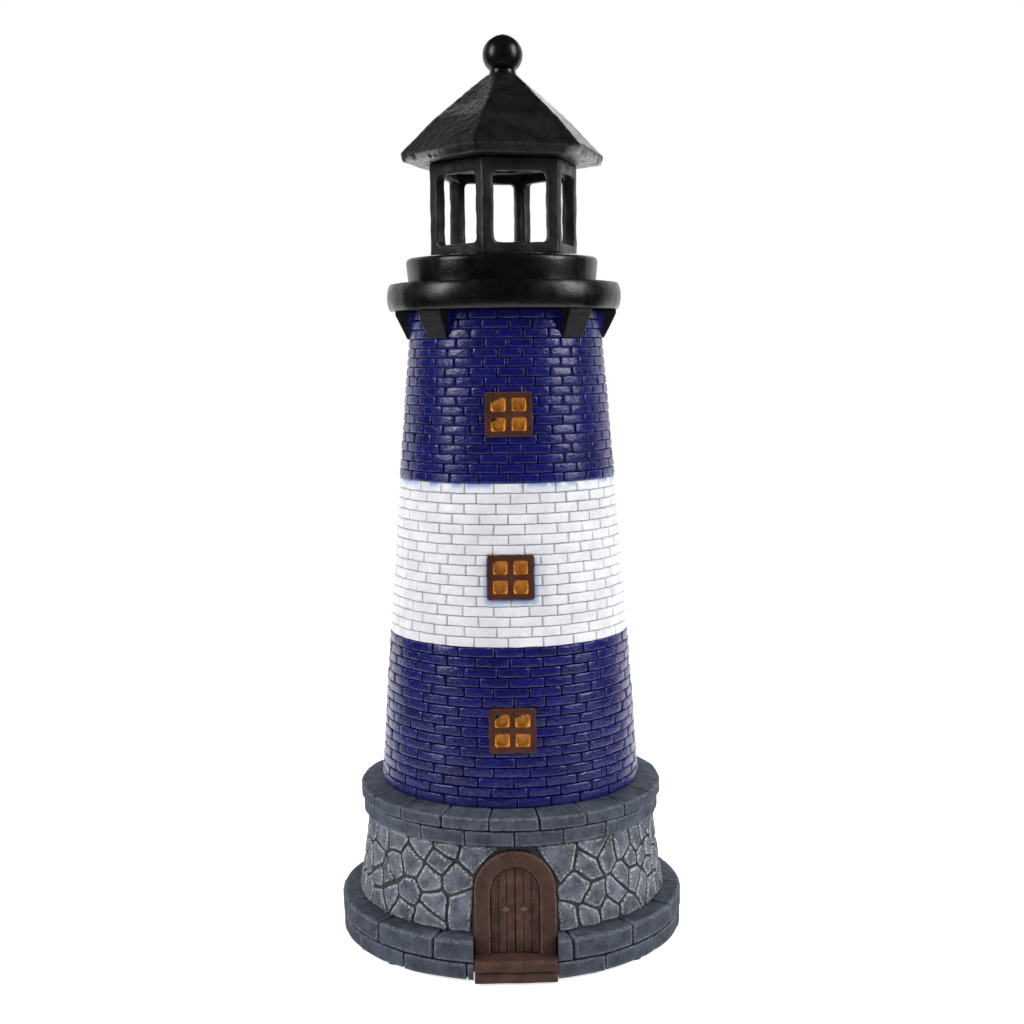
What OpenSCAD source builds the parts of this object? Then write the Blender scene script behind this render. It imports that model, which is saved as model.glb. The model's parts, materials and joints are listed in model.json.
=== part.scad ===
// Garden lighthouse: a stack of cast pieces with a small solar lamp in its lantern.
// Millimetres, +Z up. The door and the windows face -Y. The origin is on the axis at ground level.

/* [Stack of castings] */
// Gap that the rubber pads leave under the plinth
pad_lift = 1; // [0.8:0.1:2]
// Height of the base plinth
plinth_h = 15.2; // [14.6:0.1:20]
// Height of the plinth's lower course of blocks
plinth_course_h = 6.4; // [5:0.1:8]
// Height of the rubble-stone drum
drum_h = 33.6; // [30:0.1:42]
// Height of the coping under the tower
coping_h = 12.5; // [11:0.1:16]
// Height of the coping's lower course of blocks
coping_course_h = 6; // [4.5:0.1:7]
// Height of the lower blue band of bricks
lower_band_h = 61.1; // [60.5:0.1:70]
// Height of the white band of bricks
middle_band_h = 62.3; // [50:0.1:75]
// Height of the upper blue band of bricks
upper_band_h = 65.8; // [58:0.1:75]
// Height of the gallery deck
deck_h = 10.8; // [9:0.1:14]
// Height of the lantern kerb
kerb_h = 10.2; // [9:0.1:14]
// Height of the lantern cage
cage_h = 37; // [35:0.1:50]
// Height of the lantern roof
roof_h = 35; // [31:0.1:42]

/* [Radii] */
// Radius of the plinth's upper course
plinth_r = 70; // [69:0.1:76]
// How far the plinth's foot is drawn in
plinth_draw = 0.8; // [0.2:0.1:1.5]
// Width of the plinth's ledge round the drum
plinth_ledge = 7.8; // [6.5:0.1:9]
// How far the drum's side is drawn in from its foot to its top
drum_draw = 4.6; // [3:0.1:5.5]
// How far the drum's side is hollowed
drum_hollow = 0.4; // [0:0.1:1]
// How far the coping's upper course stands out over the drum
coping_overhang = 3.9; // [2.5:0.1:6]
// Setback of the coping's lower course
coping_setback = 0.8; // [0.3:0.1:1.5]
// Width of the coping's ledge round the tower
coping_ledge = 9.2; // [8:0.1:10.5]
// Radius of the tower under the deck
tower_top_r = 37.3; // [36.4:0.1:39]
// How far the tower's side swells between foot and top
tower_belly = 0.6; // [0:0.1:1]
// How far the gallery deck stands out over the tower
deck_overhang = 9.7; // [8.5:0.1:13]
// How far the deck's rim is rounded back at its edges
deck_rim = 2.2; // [1:0.1:3]
// Radius of the lantern kerb
kerb_r = 38.4; // [36:0.1:42]
// How far the kerb tapers in to its foot
kerb_taper = 1.8; // [0.5:0.1:2.5]
// Radius of the lantern cage across its corners
cage_r = 30.4; // [29:0.1:32]
// Radius of the roof's eaves across their corners
roof_r = 42; // [38:0.1:48]
// Radius of the roof's flat top across its corners
roof_top_r = 6.2; // [6:0.1:8]
// Radius of the ball on the roof
ball_r = 8; // [7:0.1:10]

/* [Stonework] */
// Wall of the castings
cast_wall = 5; // [4.6:0.1:5.6]
// Width of the joints between stones
joint_w = 0.7; // [0.4:0.1:1]
// Depth of the joints between stones
joint_d = 0.8; // [0.4:0.1:1]
// Depth of the joints between courses of bricks
brick_joint_d = 0.45; // [0.2:0.05:0.7]
// Height of the joints between courses of bricks
brick_joint_h = 0.6; // [0.3:0.05:0.9]
// Courses of bricks in the lower band
lower_courses = 16; // [14:1:18]
// Courses of bricks in the white band
middle_courses = 16; // [14:1:18]
// Courses of bricks in the upper band
upper_courses = 18; // [16:1:20]
// Blocks in each course of the plinth
plinth_blocks = 16; // [12:1:20]
// Blocks in each course of the coping
coping_blocks = 20; // [16:1:24]
// Depth of the spigots that locate one casting in the next
spigot_h = 3; // [2:0.1:3.6]
// Thickness of the spigots
spigot_t = 2.5; // [2:0.1:3]
// Clearance round the spigots and seated pieces
seat_gap = 0.3; // [0.2:0.05:0.4]

/* [Door and step] */
// Width of the door surround
door_w = 31.2; // [28:0.1:34]
// Width of the border round the two door leaves
door_border = 6.2; // [5:0.1:7]
// Thickness of the door surround
door_t = 4.5; // [4:0.1:5]
// Thickness of the door leaves
leaf_t = 2.9; // [2:0.1:3.4]
// How far the foot of the door surround stands out of the drum
door_proud = 1.8; // [1.4:0.1:2.2]
// Space between the door surround's top and the coping
door_head_gap = 2; // [1:0.1:4]
// Lean of the door, back along the drum's side
door_lean = 6.8; // [5:0.1:7.5]
// Height of the step's upper tread above the plinth's foot
step_h = 8.5; // [7.5:0.1:10]
// Height of the step's lower tread above the plinth's foot
lower_tread_h = 3.6; // [2.5:0.1:5]
// Depth of the step's lower tread
lower_tread_w = 2.8; // [2:0.1:3.2]

/* [Windows] */
// Width of a window frame
window_w = 18; // [16:0.1:20]
// Height of a window frame
window_h = 17.1; // [15:0.1:19]
// Width of the frame's border
window_border = 2.35; // [1.8:0.05:2.8]
// Width of the frame's cross bars
window_bar = 2.4; // [1.6:0.1:3]
// How far the frame stands out of the bricks
window_proud = 1.2; // [0.6:0.1:2]
// Depth of the frame in the wall
window_inset = 2.2; // [1.6:0.1:2.4]
// Thickness of the amber panes
pane_t = 1; // [0.8:0.1:1.2]
// Height of the lower window's centre above the tower's foot
lower_window_up = 29.7; // [28:0.1:34]
// Height of the middle window's centre above the tower's foot
middle_window_up = 87.9; // [80:0.1:95]
// Height of the upper window's centre above the tower's foot
upper_window_up = 149.4; // [140:0.1:155]

/* [Gallery and lantern] */
// Angle between neighbouring brackets
bracket_step = 45; // [40:1:46]
// Width of a bracket
bracket_w = 7; // [5:0.1:9]
// Height of a bracket
bracket_h = 11; // [9:0.1:14]
// Setback of the brackets' ends from the deck's edge
bracket_setback = 3; // [2.4:0.1:5]
// Turn of the lantern about the axis, against the tower
lantern_turn = -16.5; // [-30:0.5:30]
// Wall of the lantern cage
cage_wall = 4.5; // [3.5:0.1:5]
// Width of the cage's openings
cage_gap_w = 21.5; // [18:0.1:22.5]
// Height of the sill under the cage's openings
cage_sill_h = 4.7; // [4.5:0.1:6]
// Height of the rail over the cage's openings
cage_rail_h = 5.3; // [4:0.1:7]
// Radius of the corners of the cage's openings
cage_corner_r = 1.8; // [0.8:0.1:3]
// Height of the roof's fascia
fascia_h = 3.6; // [2.5:0.1:5]
// How far the fascia leans in at its lower edge
fascia_lean = 1; // [0.3:0.1:2]

/* [Lamp] */
// Radius of the lamp housing's body
lamp_r = 14; // [13:0.1:14.6]
// Radius of the lamp housing's flange
lamp_flange_r = 17.5; // [17:0.1:19]
// Thickness of the lamp housing's flange
lamp_flange_t = 1.5; // [1.2:0.1:2]
// Wall of the lamp housing
lamp_wall = 2; // [1.5:0.1:2.4]
// Depth of the lamp housing below its flange
lamp_depth = 16.5; // [15.6:0.1:18]
// Height of the lens dome above its flange
dome_h = 2.6; // [2:0.1:3]
// Thickness of the lamp's circuit board
led_board_t = 1.2; // [1:0.1:1.6]

/* [Solar panel] */
// Width of the solar panel
panel_w = 38; // [34:0.1:39]
// Height of the solar panel
panel_h = 46; // [40:0.1:46.5]
// Thickness of the solar panel
panel_t = 2.2; // [1.8:0.1:3]
// Border of the bezel outside the panel
bezel_border = 6; // [5.6:0.1:6]
// Lip of the bezel over the panel
bezel_lip = 1.5; // [1:0.1:2]
// Thickness of the bezel over the panel
bezel_cover = 1.2; // [0.8:0.1:2]
// Height of the panel's centre above the tower's foot
panel_up = 30.7; // [30.4:0.1:31]
// How far the panel's pad stands out of the bricks
panel_pad = 1.4; // [0.8:0.1:2]

/* [Base and battery] */
// Thickness of the base plate
plate_t = 3; // [2.8:0.1:3.6]
// Recess of the base plate in the plinth
plate_recess = 0.4; // [0.2:0.1:0.8]
// Width of the plinth's rim round the base plate
rim_w = 7.7; // [7.4:0.1:8.4]
// Thickness of the gasket on the base plate
gasket_t = 0.8; // [0.6:0.1:1.2]
// Radius of a rubber pad
pad_r = 3; // [2.5:0.1:3.2]
// Depth of a rubber pad in the plinth
pad_inset = 0.6; // [0.4:0.1:1]
// Distance of the base plate's screws from its edge
plate_screw_in = 9.7; // [9:0.1:12]
// Length of the battery cell without its cap
cell_len = 49.5; // [48.5:0.1:49.5]
// Radius of the battery cell
cell_r = 7.1; // [6.9:0.05:7.25]
// Thickness of the battery cover
cover_t = 1.8; // [1.5:0.1:2]
// Clearance round the battery cover and the switch slider
move_gap = 0.3; // [0.2:0.05:0.4]
// Travel of the switch slider
switch_travel = 3; // [2:0.1:3.4]
// Thickness of the circuit board
board_t = 1.6; // [1:0.1:2]
// Height of the posts under the circuit board
board_post_h = 5; // [4:0.1:7]
// Radius of the leads
lead_r = 0.8; // [0.6:0.05:0.9]

/* [Hidden] */
$fn = 72;
eps = 0.01;
past = 20;                        // how far a cutter runs past the face it opens

// Heights of the seats between the castings, from the ground up
plinth_z = pad_lift;
drum_z = plinth_z + plinth_h;
coping_z = drum_z + drum_h;
tower_z = coping_z + coping_h;
tower_h = lower_band_h + middle_band_h + upper_band_h;
deck_z = tower_z + tower_h;
kerb_z = deck_z + deck_h;
cage_z = kerb_z + kerb_h;
roof_z = cage_z + cage_h;
ball_seat = 0.94;                 // the ball sits this share of its radius above the roof's top
ball_z = roof_z + roof_h + ball_seat * ball_r;

// Radii of the castings, each from the one that it stands on
drum_foot_r = plinth_r - plinth_ledge;
drum_top_r = drum_foot_r - drum_draw;
coping_r = drum_top_r + coping_overhang;
tower_foot_r = coping_r - coping_ledge;
deck_r = tower_top_r + deck_overhang;
door_out = drum_foot_r + door_proud;
bracket_reach = deck_r - bracket_setback;

// Bores of the castings and the spigots that go into them
plinth_bore = drum_foot_r - cast_wall;
drum_top_bore = drum_top_r - cast_wall;
tower_foot_bore = tower_foot_r - cast_wall;
tower_top_bore = tower_top_r - cast_wall;
foot_ring_h = 6;
edge_r = 1.8;                     // rounding of the blocks' outer edges
ledge_fall = 0.6;                 // fall of the plinth's top, from the drum outwards
coping_fall = 1.7;                // fall of the coping's top, from the tower outwards

// Base: plate, battery bay, switch and circuit board
plate_z = plinth_z + plate_recess;
plate_top = plate_z + plate_t;
rebate_top = plate_top + gasket_t;
rebate_r = plinth_r - plinth_draw - rim_w;
plate_r = rebate_r - seat_gap;
plate_screw_at = plate_r - plate_screw_in;
plate_screw_turn = 30;            // to both sides of the left and right
boss_r = 4.5;
boss_h = 8;
screw_r = 1.5;
screw_head_r = 2.6;
screw_head_h = 1.6;
thread_gap = 0.05;
bay_y = -22;
bay_wall = 1.5;
cap_len = 1;
spring_len = 5.7;
contact_t = 0.6;
cell_gap = 0.3;
bay_in_l = cell_len + cap_len + spring_len + 2 * contact_t + cell_gap;
bay_in_w = 2 * cell_r + 2;
cell_z = plate_z + cover_t + 2 * move_gap + cell_r;
bay_top = cell_z + cell_r + cell_gap;
cover_l = bay_in_l + 8;
cover_w = bay_in_w + 4;
cover_z = plate_z;
cover_recess_h = cover_t + 0.2;
tongue_w = 4;
tongue_l = 2;
tongue_y = 5.5;
tongue_t = 0.9;
tongue_lip = 0.7;
cell_x = -bay_in_l / 2 + contact_t + spring_len;

switch_y = 1;
switch_wall = 1;
carriage = [8.4, 5.4, 2.8];
stem = [3, 2];
knob = [4.6, 3.4, 0.9];
knob_recess_h = 1.4;
slide_lift = 0.2;

board = [46, 26];
board_y = 25;
board_z = plate_top + board_post_h;
board_top = board_z + board_t;
board_post_r = 2.4;
board_screw_r = 1;
board_post_at = [board[0] / 2 - 3.5, board[1] / 2 - 3.5];
plug = [6, 5, 3.5];
panel_plug = [-13, 33];
lamp_plug = [4, 33];
battery_plug = [10, 17];

// Lamp in the lantern's floor
lamp_bore = lamp_r + seat_gap;
deck_bore = 24;
lamp_flange_top = cage_z + lamp_flange_t;
led_ledge = 6;                    // from the flange's top down to the board
lamp_throat_r = 8;
led_r = 2.5;
seal_r = 0.8;
seal_at = 13.2;
lens_r = 15.2;
lens_t = 1;
dome_r = 11;
ring_t = 1.2;
nut_t = 4;

// Windows and solar panel, which lean with the tower's side
tower_lean = atan((tower_foot_r - tower_top_r) / tower_h);
lower_window_z = tower_z + lower_window_up;
middle_window_z = tower_z + middle_window_up;
upper_window_z = tower_z + upper_window_up;
panel_z = tower_z + panel_up;
window_ledge = 2;
bezel_w = panel_w + 2 * bezel_border;
bezel_h = panel_h + 2 * bezel_border;
panel_seal_t = 0.6;
pad_margin = 0.5;
panel_screw_in = 3;
panel_screw_r = 1;
panel_screw_head_r = 1.9;
panel_screw_l = 7;

// Door, in the notch of the plinth and the drum
door_foot_z = plinth_z + step_h;
door_top_z = coping_z - door_head_gap;
door_h = (door_top_z - door_foot_z) / cos(door_lean);
leaf_w = door_w - 2 * door_border;
leaf_h = door_h - door_border;
leaf_gap = 0.4;
step_back = rebate_r + 1.6;
step_gap = seat_gap + 0.1;

// Brick joints of the tower, from its foot to its top
function band_joints(z0, h, n) = [for (i = [1:n]) z0 + h * i / n];
brick_joints = concat(
    band_joints(tower_z, lower_band_h, lower_courses),
    band_joints(tower_z + lower_band_h, middle_band_h, middle_courses),
    band_joints(tower_z + lower_band_h + middle_band_h, upper_band_h, upper_courses - 1)
);

function mix(a, b, t) = a + (b - a) * t;
function tower_r(z) =
    let (t = (z - tower_z) / tower_h)
    mix(tower_foot_r, tower_top_r, t) + tower_belly * sin(180 * t);
function drum_r(z) =
    let (t = (z - drum_z) / drum_h)
    mix(drum_foot_r, drum_top_r, t) - drum_hollow * sin(180 * t);
function arc(cx, cz, r, from, to, n = 5) =
    [for (i = [0:n]) let (a = mix(from, to, i / n)) [cx + r * cos(a), cz + r * sin(a)]];

// ---- helpers -------------------------------------------------------------------------------

// Places children on the wall at an angle from the front: x along it, y up it, z out of it
module on_wall(angle, r, z, lean) {
    rotate([0, 0, angle])
        translate([0, -r, z])
            rotate([90 - lean, 0, 0])
                children();
}

module block(size, z0 = 0) {
    translate([-size[0] / 2, -size[1] / 2, z0])
        cube(size);
}

module tube(r, bore, h) {
    difference() {
        cylinder(r = r, h = h);
        translate([0, 0, -past])
            cylinder(r = bore, h = h + 2 * past);
    }
}

// A door-shaped slab: upright sides and a round head
module arch(w, h, t) {
    translate([-w / 2, -past / 4, 0])
        cube([w, h - w / 2 + past / 4, t]);
    translate([0, h - w / 2, 0])
        cylinder(r = w / 2, h = t);
}

// Upright joints round a ring of blocks, cut by one outline in the plane of the axis
module upright_joints(n, turn, outline) {
    for (i = [0:n - 1])
        rotate([0, 0, turn + 360 * i / n])
            translate([0, joint_w / 2, 0])
                rotate([90, 0, 0])
                    linear_extrude(height = joint_w)
                        polygon(outline);
}

function unit(v) = v / norm(v);

// A smooth route through points, with n steps from each to the next
function spline(p, n = 4) = [
    for (i = [0:len(p) - 2], k = [0:n - 1])
        let (t = k / n, a = p[max(i - 1, 0)], b = p[i], c = p[i + 1], d = p[min(i + 2, len(p) - 1)])
        b + 0.5 * t * (c - a + t * (2 * a - 5 * b + 4 * c - d + t * (3 * (b - c) + d - a))),
    p[len(p) - 1]
];

// A round wire along a route, square to the directions given for its two ends
module wire(route, r, side, from, to) {
    sides = 8;
    last = len(route) - 1;
    points = [
        for (i = [0:last])
            let (
                along = i == 0 ? from : i == last ? to : unit(route[i + 1] - route[i - 1]),
                u = unit(cross(along, side)),
                v = cross(along, u)
            )
            for (k = [0:sides - 1])
                route[i] + r * (cos(360 * k / sides) * u + sin(360 * k / sides) * v)
    ];
    faces = concat(
        [[for (k = [0:sides - 1]) k]],
        [for (i = [0:last - 1], k = [0:sides - 1])
            let (n = (k + 1) % sides)
            [(i + 1) * sides + k, (i + 1) * sides + n, i * sides + n, i * sides + k]],
        [[for (k = [sides - 1:-1:0]) last * sides + k]]
    );
    polyhedron(points, faces);
}

module screw(head_r, head_h, r, l) {
    difference() {
        union() {
            cylinder(r = head_r, h = head_h, $fn = 32);
            translate([0, 0, head_h - eps])
                cylinder(r = r, h = l + eps, $fn = 24);
        }
        for (a = [0, 90])
            rotate([0, 0, a])
                block([head_r * 1.1, head_r * 0.28, head_h], -head_h * 0.55);
    }
}

module at_plate_screws() {
    for (side = [0, 180], turn = [-1, 1])
        rotate([0, 0, side + turn * plate_screw_turn])
            translate([plate_screw_at, 0, 0])
                children();
}

module at_board_posts() {
    for (x = [-1, 1], y = [-1, 1])
        translate([x * board_post_at[0], board_y + y * board_post_at[1], 0])
            children();
}

module at_panel_screws() {
    for (x = [-1, 1], y = [-1, 1])
        translate([x * (bezel_w / 2 - panel_screw_in), y * (bezel_h / 2 - panel_screw_in), 0])
            children();
}

// ---- stonework -----------------------------------------------------------------------------

module below_door() {
    translate([-50, -100, door_foot_z - 50])
        cube([100, 100, 50]);
}

module door_pocket() {
    difference() {
        on_wall(0, door_out, door_foot_z, door_lean)
            translate([0, 0, -door_t])
                arch(door_w + 2 * seat_gap, door_h + seat_gap, past);
        below_door();
    }
}

module base_plinth() {
    foot_r = plinth_r - plinth_draw;
    course_z = plinth_z + plinth_course_h;
    edge_z = drum_z - ledge_fall - edge_r;
    color("dimgray")
    difference() {
        union() {
            rotate_extrude()
                polygon(concat(
                    [[rebate_r, plinth_z], [foot_r, plinth_z], [plinth_r - 0.2, course_z - joint_w / 2],
                     [plinth_r - joint_d, course_z], [plinth_r, course_z + joint_w / 2]],
                    arc(plinth_r - edge_r, edge_z, edge_r, 0, 90),
                    [[drum_foot_r, drum_z], [plinth_bore, drum_z], [plinth_bore, rebate_top],
                     [rebate_r, rebate_top]]
                ));
            at_plate_screws()
                translate([0, 0, plate_top]) {
                    cylinder(r = boss_r, h = boss_h, $fn = 32);
                    translate([0, -boss_r + 1, gasket_t])
                        cube([plinth_bore - plate_screw_at + 1, 2 * boss_r - 2, boss_h - gasket_t - 0.5]);
                }
        }
        at_plate_screws()
            translate([0, 0, plate_top - eps])
                cylinder(r = screw_r + thread_gap, h = boss_h - 1, $fn = 24);
        upright_joints(plinth_blocks, 7, [
            [foot_r - joint_d, plinth_z - 1], [plinth_r - joint_d, course_z],
            [plinth_r + 1, course_z], [plinth_r + 1, plinth_z - 1]
        ]);
        upright_joints(plinth_blocks, 18.25, [
            [plinth_r - joint_d, course_z], [plinth_r - joint_d, edge_z],
            [plinth_r - edge_r, drum_z - ledge_fall - joint_d], [drum_foot_r + 0.5, drum_z - joint_d],
            [drum_foot_r + 0.5, drum_z + 1], [plinth_r + 1, drum_z + 1], [plinth_r + 1, course_z]
        ]);
        for (i = [0:3])
            rotate([0, 0, 90 * i + 45])
                translate([(rebate_r + foot_r) / 2, 0, plinth_z - eps])
                    cylinder(r = pad_r + 0.1, h = pad_inset + eps, $fn = 32);
        translate([-door_w / 2 - step_gap, -step_back - past, plinth_z - 1])
            cube([door_w + 2 * step_gap, past, plinth_h + 1]);
        door_pocket();
    }
}

module stone_drum() {
    steps = 8;
    color("slategray")
    difference() {
        rotate_extrude()
            polygon(concat(
                [for (i = [0:steps]) let (z = mix(drum_z, coping_z, i / steps)) [drum_r(z), z]],
                [[drum_top_bore, coping_z], [plinth_bore, drum_z + 1],
                 [plinth_bore - seat_gap - spigot_t, drum_z + 1],
                 [plinth_bore - seat_gap - spigot_t, drum_z - spigot_h],
                 [plinth_bore - seat_gap, drum_z - spigot_h], [plinth_bore - seat_gap, drum_z]]
            ));
        door_pocket();
    }
}

module coping_ring() {
    low_r = coping_r - coping_setback;
    course_z = coping_z + coping_course_h;
    edge_z = tower_z - coping_fall - 1;
    color("dimgray")
    difference() {
        rotate_extrude()
            polygon(concat(
                [[tower_foot_bore, coping_z + 1], [drum_top_bore - seat_gap - spigot_t, coping_z],
                 [drum_top_bore - seat_gap - spigot_t, coping_z - spigot_h],
                 [drum_top_bore - seat_gap, coping_z - spigot_h], [drum_top_bore - seat_gap, coping_z],
                 [low_r - 0.8, coping_z], [low_r, course_z - joint_w / 2],
                 [low_r - joint_d, course_z], [coping_r, course_z + joint_w / 2]],
                arc(coping_r - 1, edge_z, 1, 0, 75, 3),
                [[tower_foot_r, tower_z], [tower_foot_bore, tower_z]]
            ));
        upright_joints(coping_blocks, 0, [
            [low_r - joint_d, coping_z - 1], [low_r - joint_d, course_z],
            [coping_r + 1, course_z], [coping_r + 1, coping_z - 1]
        ]);
        upright_joints(coping_blocks, 9, [
            [coping_r - joint_d, course_z], [coping_r - joint_d, edge_z],
            [tower_foot_r + 0.5, tower_z - joint_d], [tower_foot_r + 0.5, tower_z + 1],
            [coping_r + 1, tower_z + 1], [coping_r + 1, course_z]
        ]);
    }
}

module tower_core() {
    translate([0, 0, tower_z])
        cylinder(r1 = tower_foot_bore, r2 = tower_top_bore, h = tower_h);
}

module window_pocket(z) {
    on_wall(0, tower_r(z), z, tower_lean) {
        translate([0, 0, -window_inset - pane_t])
            block([window_w + 2 * seat_gap, window_h + 2 * seat_gap, past]);
        translate([0, 0, -past])
            block([window_w - 2 * window_ledge, window_h - 2 * window_ledge, past]);
    }
}

module tower_wall() {
    half = brick_joint_h / 2;
    spigot_r = tower_foot_bore - seat_gap;
    ring_z = tower_z + foot_ring_h;
    bore_at = function (z) mix(tower_foot_bore, tower_top_bore, (z - tower_z) / tower_h);
    color("navy")
    difference() {
        union() {
            rotate_extrude()
                polygon(concat(
                    [[tower_foot_r, tower_z]],
                    [for (z = brick_joints) each [
                        [tower_r(z - half), z - half],
                        [tower_r(z) - brick_joint_d, z],
                        [tower_r(z + half), z + half]]],
                    [[tower_top_r, deck_z], [tower_top_bore, deck_z],
                     [bore_at(ring_z + spigot_t), ring_z + spigot_t],
                     [spigot_r - spigot_t, ring_z], [spigot_r - spigot_t, tower_z - spigot_h],
                     [spigot_r, tower_z - spigot_h], [spigot_r, tower_z]]
                ));
            difference() {
                on_wall(180, tower_r(panel_z), panel_z, tower_lean)
                    block([bezel_w + 2 * pad_margin, bezel_h + 2 * pad_margin, panel_pad + 12], -12);
                tower_core();
            }
        }
        window_pocket(lower_window_z);
        window_pocket(middle_window_z);
        window_pocket(upper_window_z);
        on_wall(180, tower_r(panel_z), panel_z, tower_lean) {
            translate([0, 0, -past])
                cylinder(r = 2 * lead_r, h = 2 * past, $fn = 24);
            at_panel_screws()
                translate([0, 0, panel_pad - 6])
                    cylinder(r = panel_screw_r + thread_gap, h = past, $fn = 24);
        }
    }
}

// ---- door ----------------------------------------------------------------------------------

module door_surround() {
    color("saddlebrown")
    difference() {
        on_wall(0, door_out, door_foot_z, door_lean)
            difference() {
                translate([0, 0, -door_t])
                    arch(door_w, door_h, door_t);
                translate([0, 0, -door_t - 1])
                    arch(leaf_w, leaf_h, door_t + 2);
            }
        below_door();
    }
}

module door_leaf(side) {
    edge = leaf_gap;
    plank = (leaf_w / 2 - edge) / 3;
    color("sienna")
    difference() {
        on_wall(0, door_out, door_foot_z, door_lean)
            translate([0, 0, -door_t])
                difference() {
                    arch(leaf_w - 2 * edge, leaf_h - edge, leaf_t);
                    translate([side * (past - leaf_gap / 2), 0, -1])
                        block([2 * past, 200, leaf_t + 2]);
                    for (i = [1:2])
                        translate([-side * (leaf_gap / 2 + i * plank), 0, leaf_t - 0.4])
                            block([0.4, 200, 2]);
                }
        below_door();
    }
}

module door_leaf_left() {
    door_leaf(1);
}

module door_leaf_right() {
    door_leaf(-1);
}

module door_pulls() {
    pull_at = 3.4;
    pull_up = 16.5;
    color("peru")
    on_wall(0, door_out, door_foot_z, door_lean)
        for (side = [-1, 1])
            translate([side * pull_at, pull_up, leaf_t - door_t]) {
                cylinder(r = 0.9, h = 0.6, $fn = 24);
                translate([-1.3, 0, 0.7])
                    rotate([0, 90, 0])
                        cylinder(r = 0.45, h = 2.6, $fn = 24);
            }
}

module door_step() {
    front = plinth_r - 0.1;
    color("brown")
    rotate([90, 0, 90])
        translate([0, 0, -door_w / 2])
            linear_extrude(height = door_w)
                polygon([
                    [-step_back, plinth_z], [-front, plinth_z], [-front, plinth_z + lower_tread_h],
                    [-front + lower_tread_w, plinth_z + lower_tread_h],
                    [-front + lower_tread_w, door_foot_z - 0.6],
                    [-front + lower_tread_w + 0.6, door_foot_z], [-step_back, door_foot_z]
                ]);
}

// ---- windows -------------------------------------------------------------------------------

module window_frame(z) {
    light_w = (window_w - 2 * window_border - window_bar) / 2;
    light_h = (window_h - 2 * window_border - window_bar) / 2;
    color("saddlebrown")
    on_wall(0, tower_r(z), z, tower_lean)
        difference() {
            block([window_w, window_h, window_inset + window_proud], -window_inset);
            for (x = [-1, 1], y = [-1, 1])
                translate([x * (window_bar + light_w) / 2, y * (window_bar + light_h) / 2, 0])
                    block([light_w, light_h, 2 * past], -past);
        }
}

module window_panes(z) {
    color("orange")
    on_wall(0, tower_r(z), z, tower_lean)
        block([window_w - 2 * seat_gap, window_h - 2 * seat_gap, pane_t], -window_inset - pane_t);
}

module window_frame_lower() {
    window_frame(lower_window_z);
}

module window_frame_middle() {
    window_frame(middle_window_z);
}

module window_frame_upper() {
    window_frame(upper_window_z);
}

module window_panes_lower() {
    window_panes(lower_window_z);
}

module window_panes_middle() {
    window_panes(middle_window_z);
}

module window_panes_upper() {
    window_panes(upper_window_z);
}

// ---- gallery and lantern -------------------------------------------------------------------

// Corbels at both sides and behind; the front has none
module gallery_brackets() {
    lip = 1.6;
    color("black")
    difference() {
        for (i = [-3:3])
            if (i != 0)
                rotate([0, 0, bracket_step * i])
                    translate([bracket_w / 2, 0, 0])
                        rotate([90, 0, -90])
                            linear_extrude(height = bracket_w)
                                polygon([
                                    [tower_top_r - 2, deck_z], [bracket_reach, deck_z],
                                    [bracket_reach, deck_z - lip],
                                    [tower_r(deck_z - bracket_h) + 0.6, deck_z - bracket_h],
                                    [tower_top_r - 2, deck_z - bracket_h]
                                ]);
        bracket_seat();
    }
}

// The tower's side behind the brackets, without its joints
module bracket_seat() {
    low = deck_z - bracket_h - 2;
    translate([0, 0, low])
        cylinder(r1 = tower_r(low), r2 = tower_top_r, h = deck_z - low + eps);
}

module gallery_deck() {
    spigot_r = tower_top_bore - seat_gap;
    color("black")
    rotate_extrude()
        polygon(concat(
            [[deck_bore, deck_z - spigot_h], [spigot_r, deck_z - spigot_h], [spigot_r, deck_z]],
            [for (i = [0:8]) let (a = mix(-62, 62, i / 8))
                [deck_r - deck_rim + deck_rim * cos(a), deck_z + deck_h / 2 + deck_h / 2 * sin(a) / sin(62)]],
            [[deck_bore, deck_z + deck_h]]
        ));
}

module lantern_kerb() {
    color("black")
    rotate_extrude()
        polygon(concat(
            [[lamp_bore, kerb_z], [kerb_r - kerb_taper, kerb_z]],
            arc(kerb_r - edge_r, cage_z - edge_r, edge_r, 0, 90),
            [[lamp_bore, cage_z]]
        ));
}

module lantern_cage() {
    gap_h = cage_h - cage_sill_h - cage_rail_h;
    color("black")
    translate([0, 0, cage_z])
        rotate([0, 0, lantern_turn - 90])
            difference() {
                cylinder(r = cage_r, h = cage_h, $fn = 6);
                translate([0, 0, -1])
                    cylinder(r = cage_r - cage_wall / cos(30), h = cage_h + 2, $fn = 6);
                for (i = [0:5])
                    rotate([0, 0, 30 + 60 * i])
                        translate([0, 0, cage_sill_h + gap_h / 2])
                            rotate([90, 0, 90])
                                linear_extrude(height = cage_r)
                                    offset(r = cage_corner_r, $fn = 16)
                                        square([cage_gap_w - 2 * cage_corner_r,
                                                gap_h - 2 * cage_corner_r], center = true);
            }
}

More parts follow.
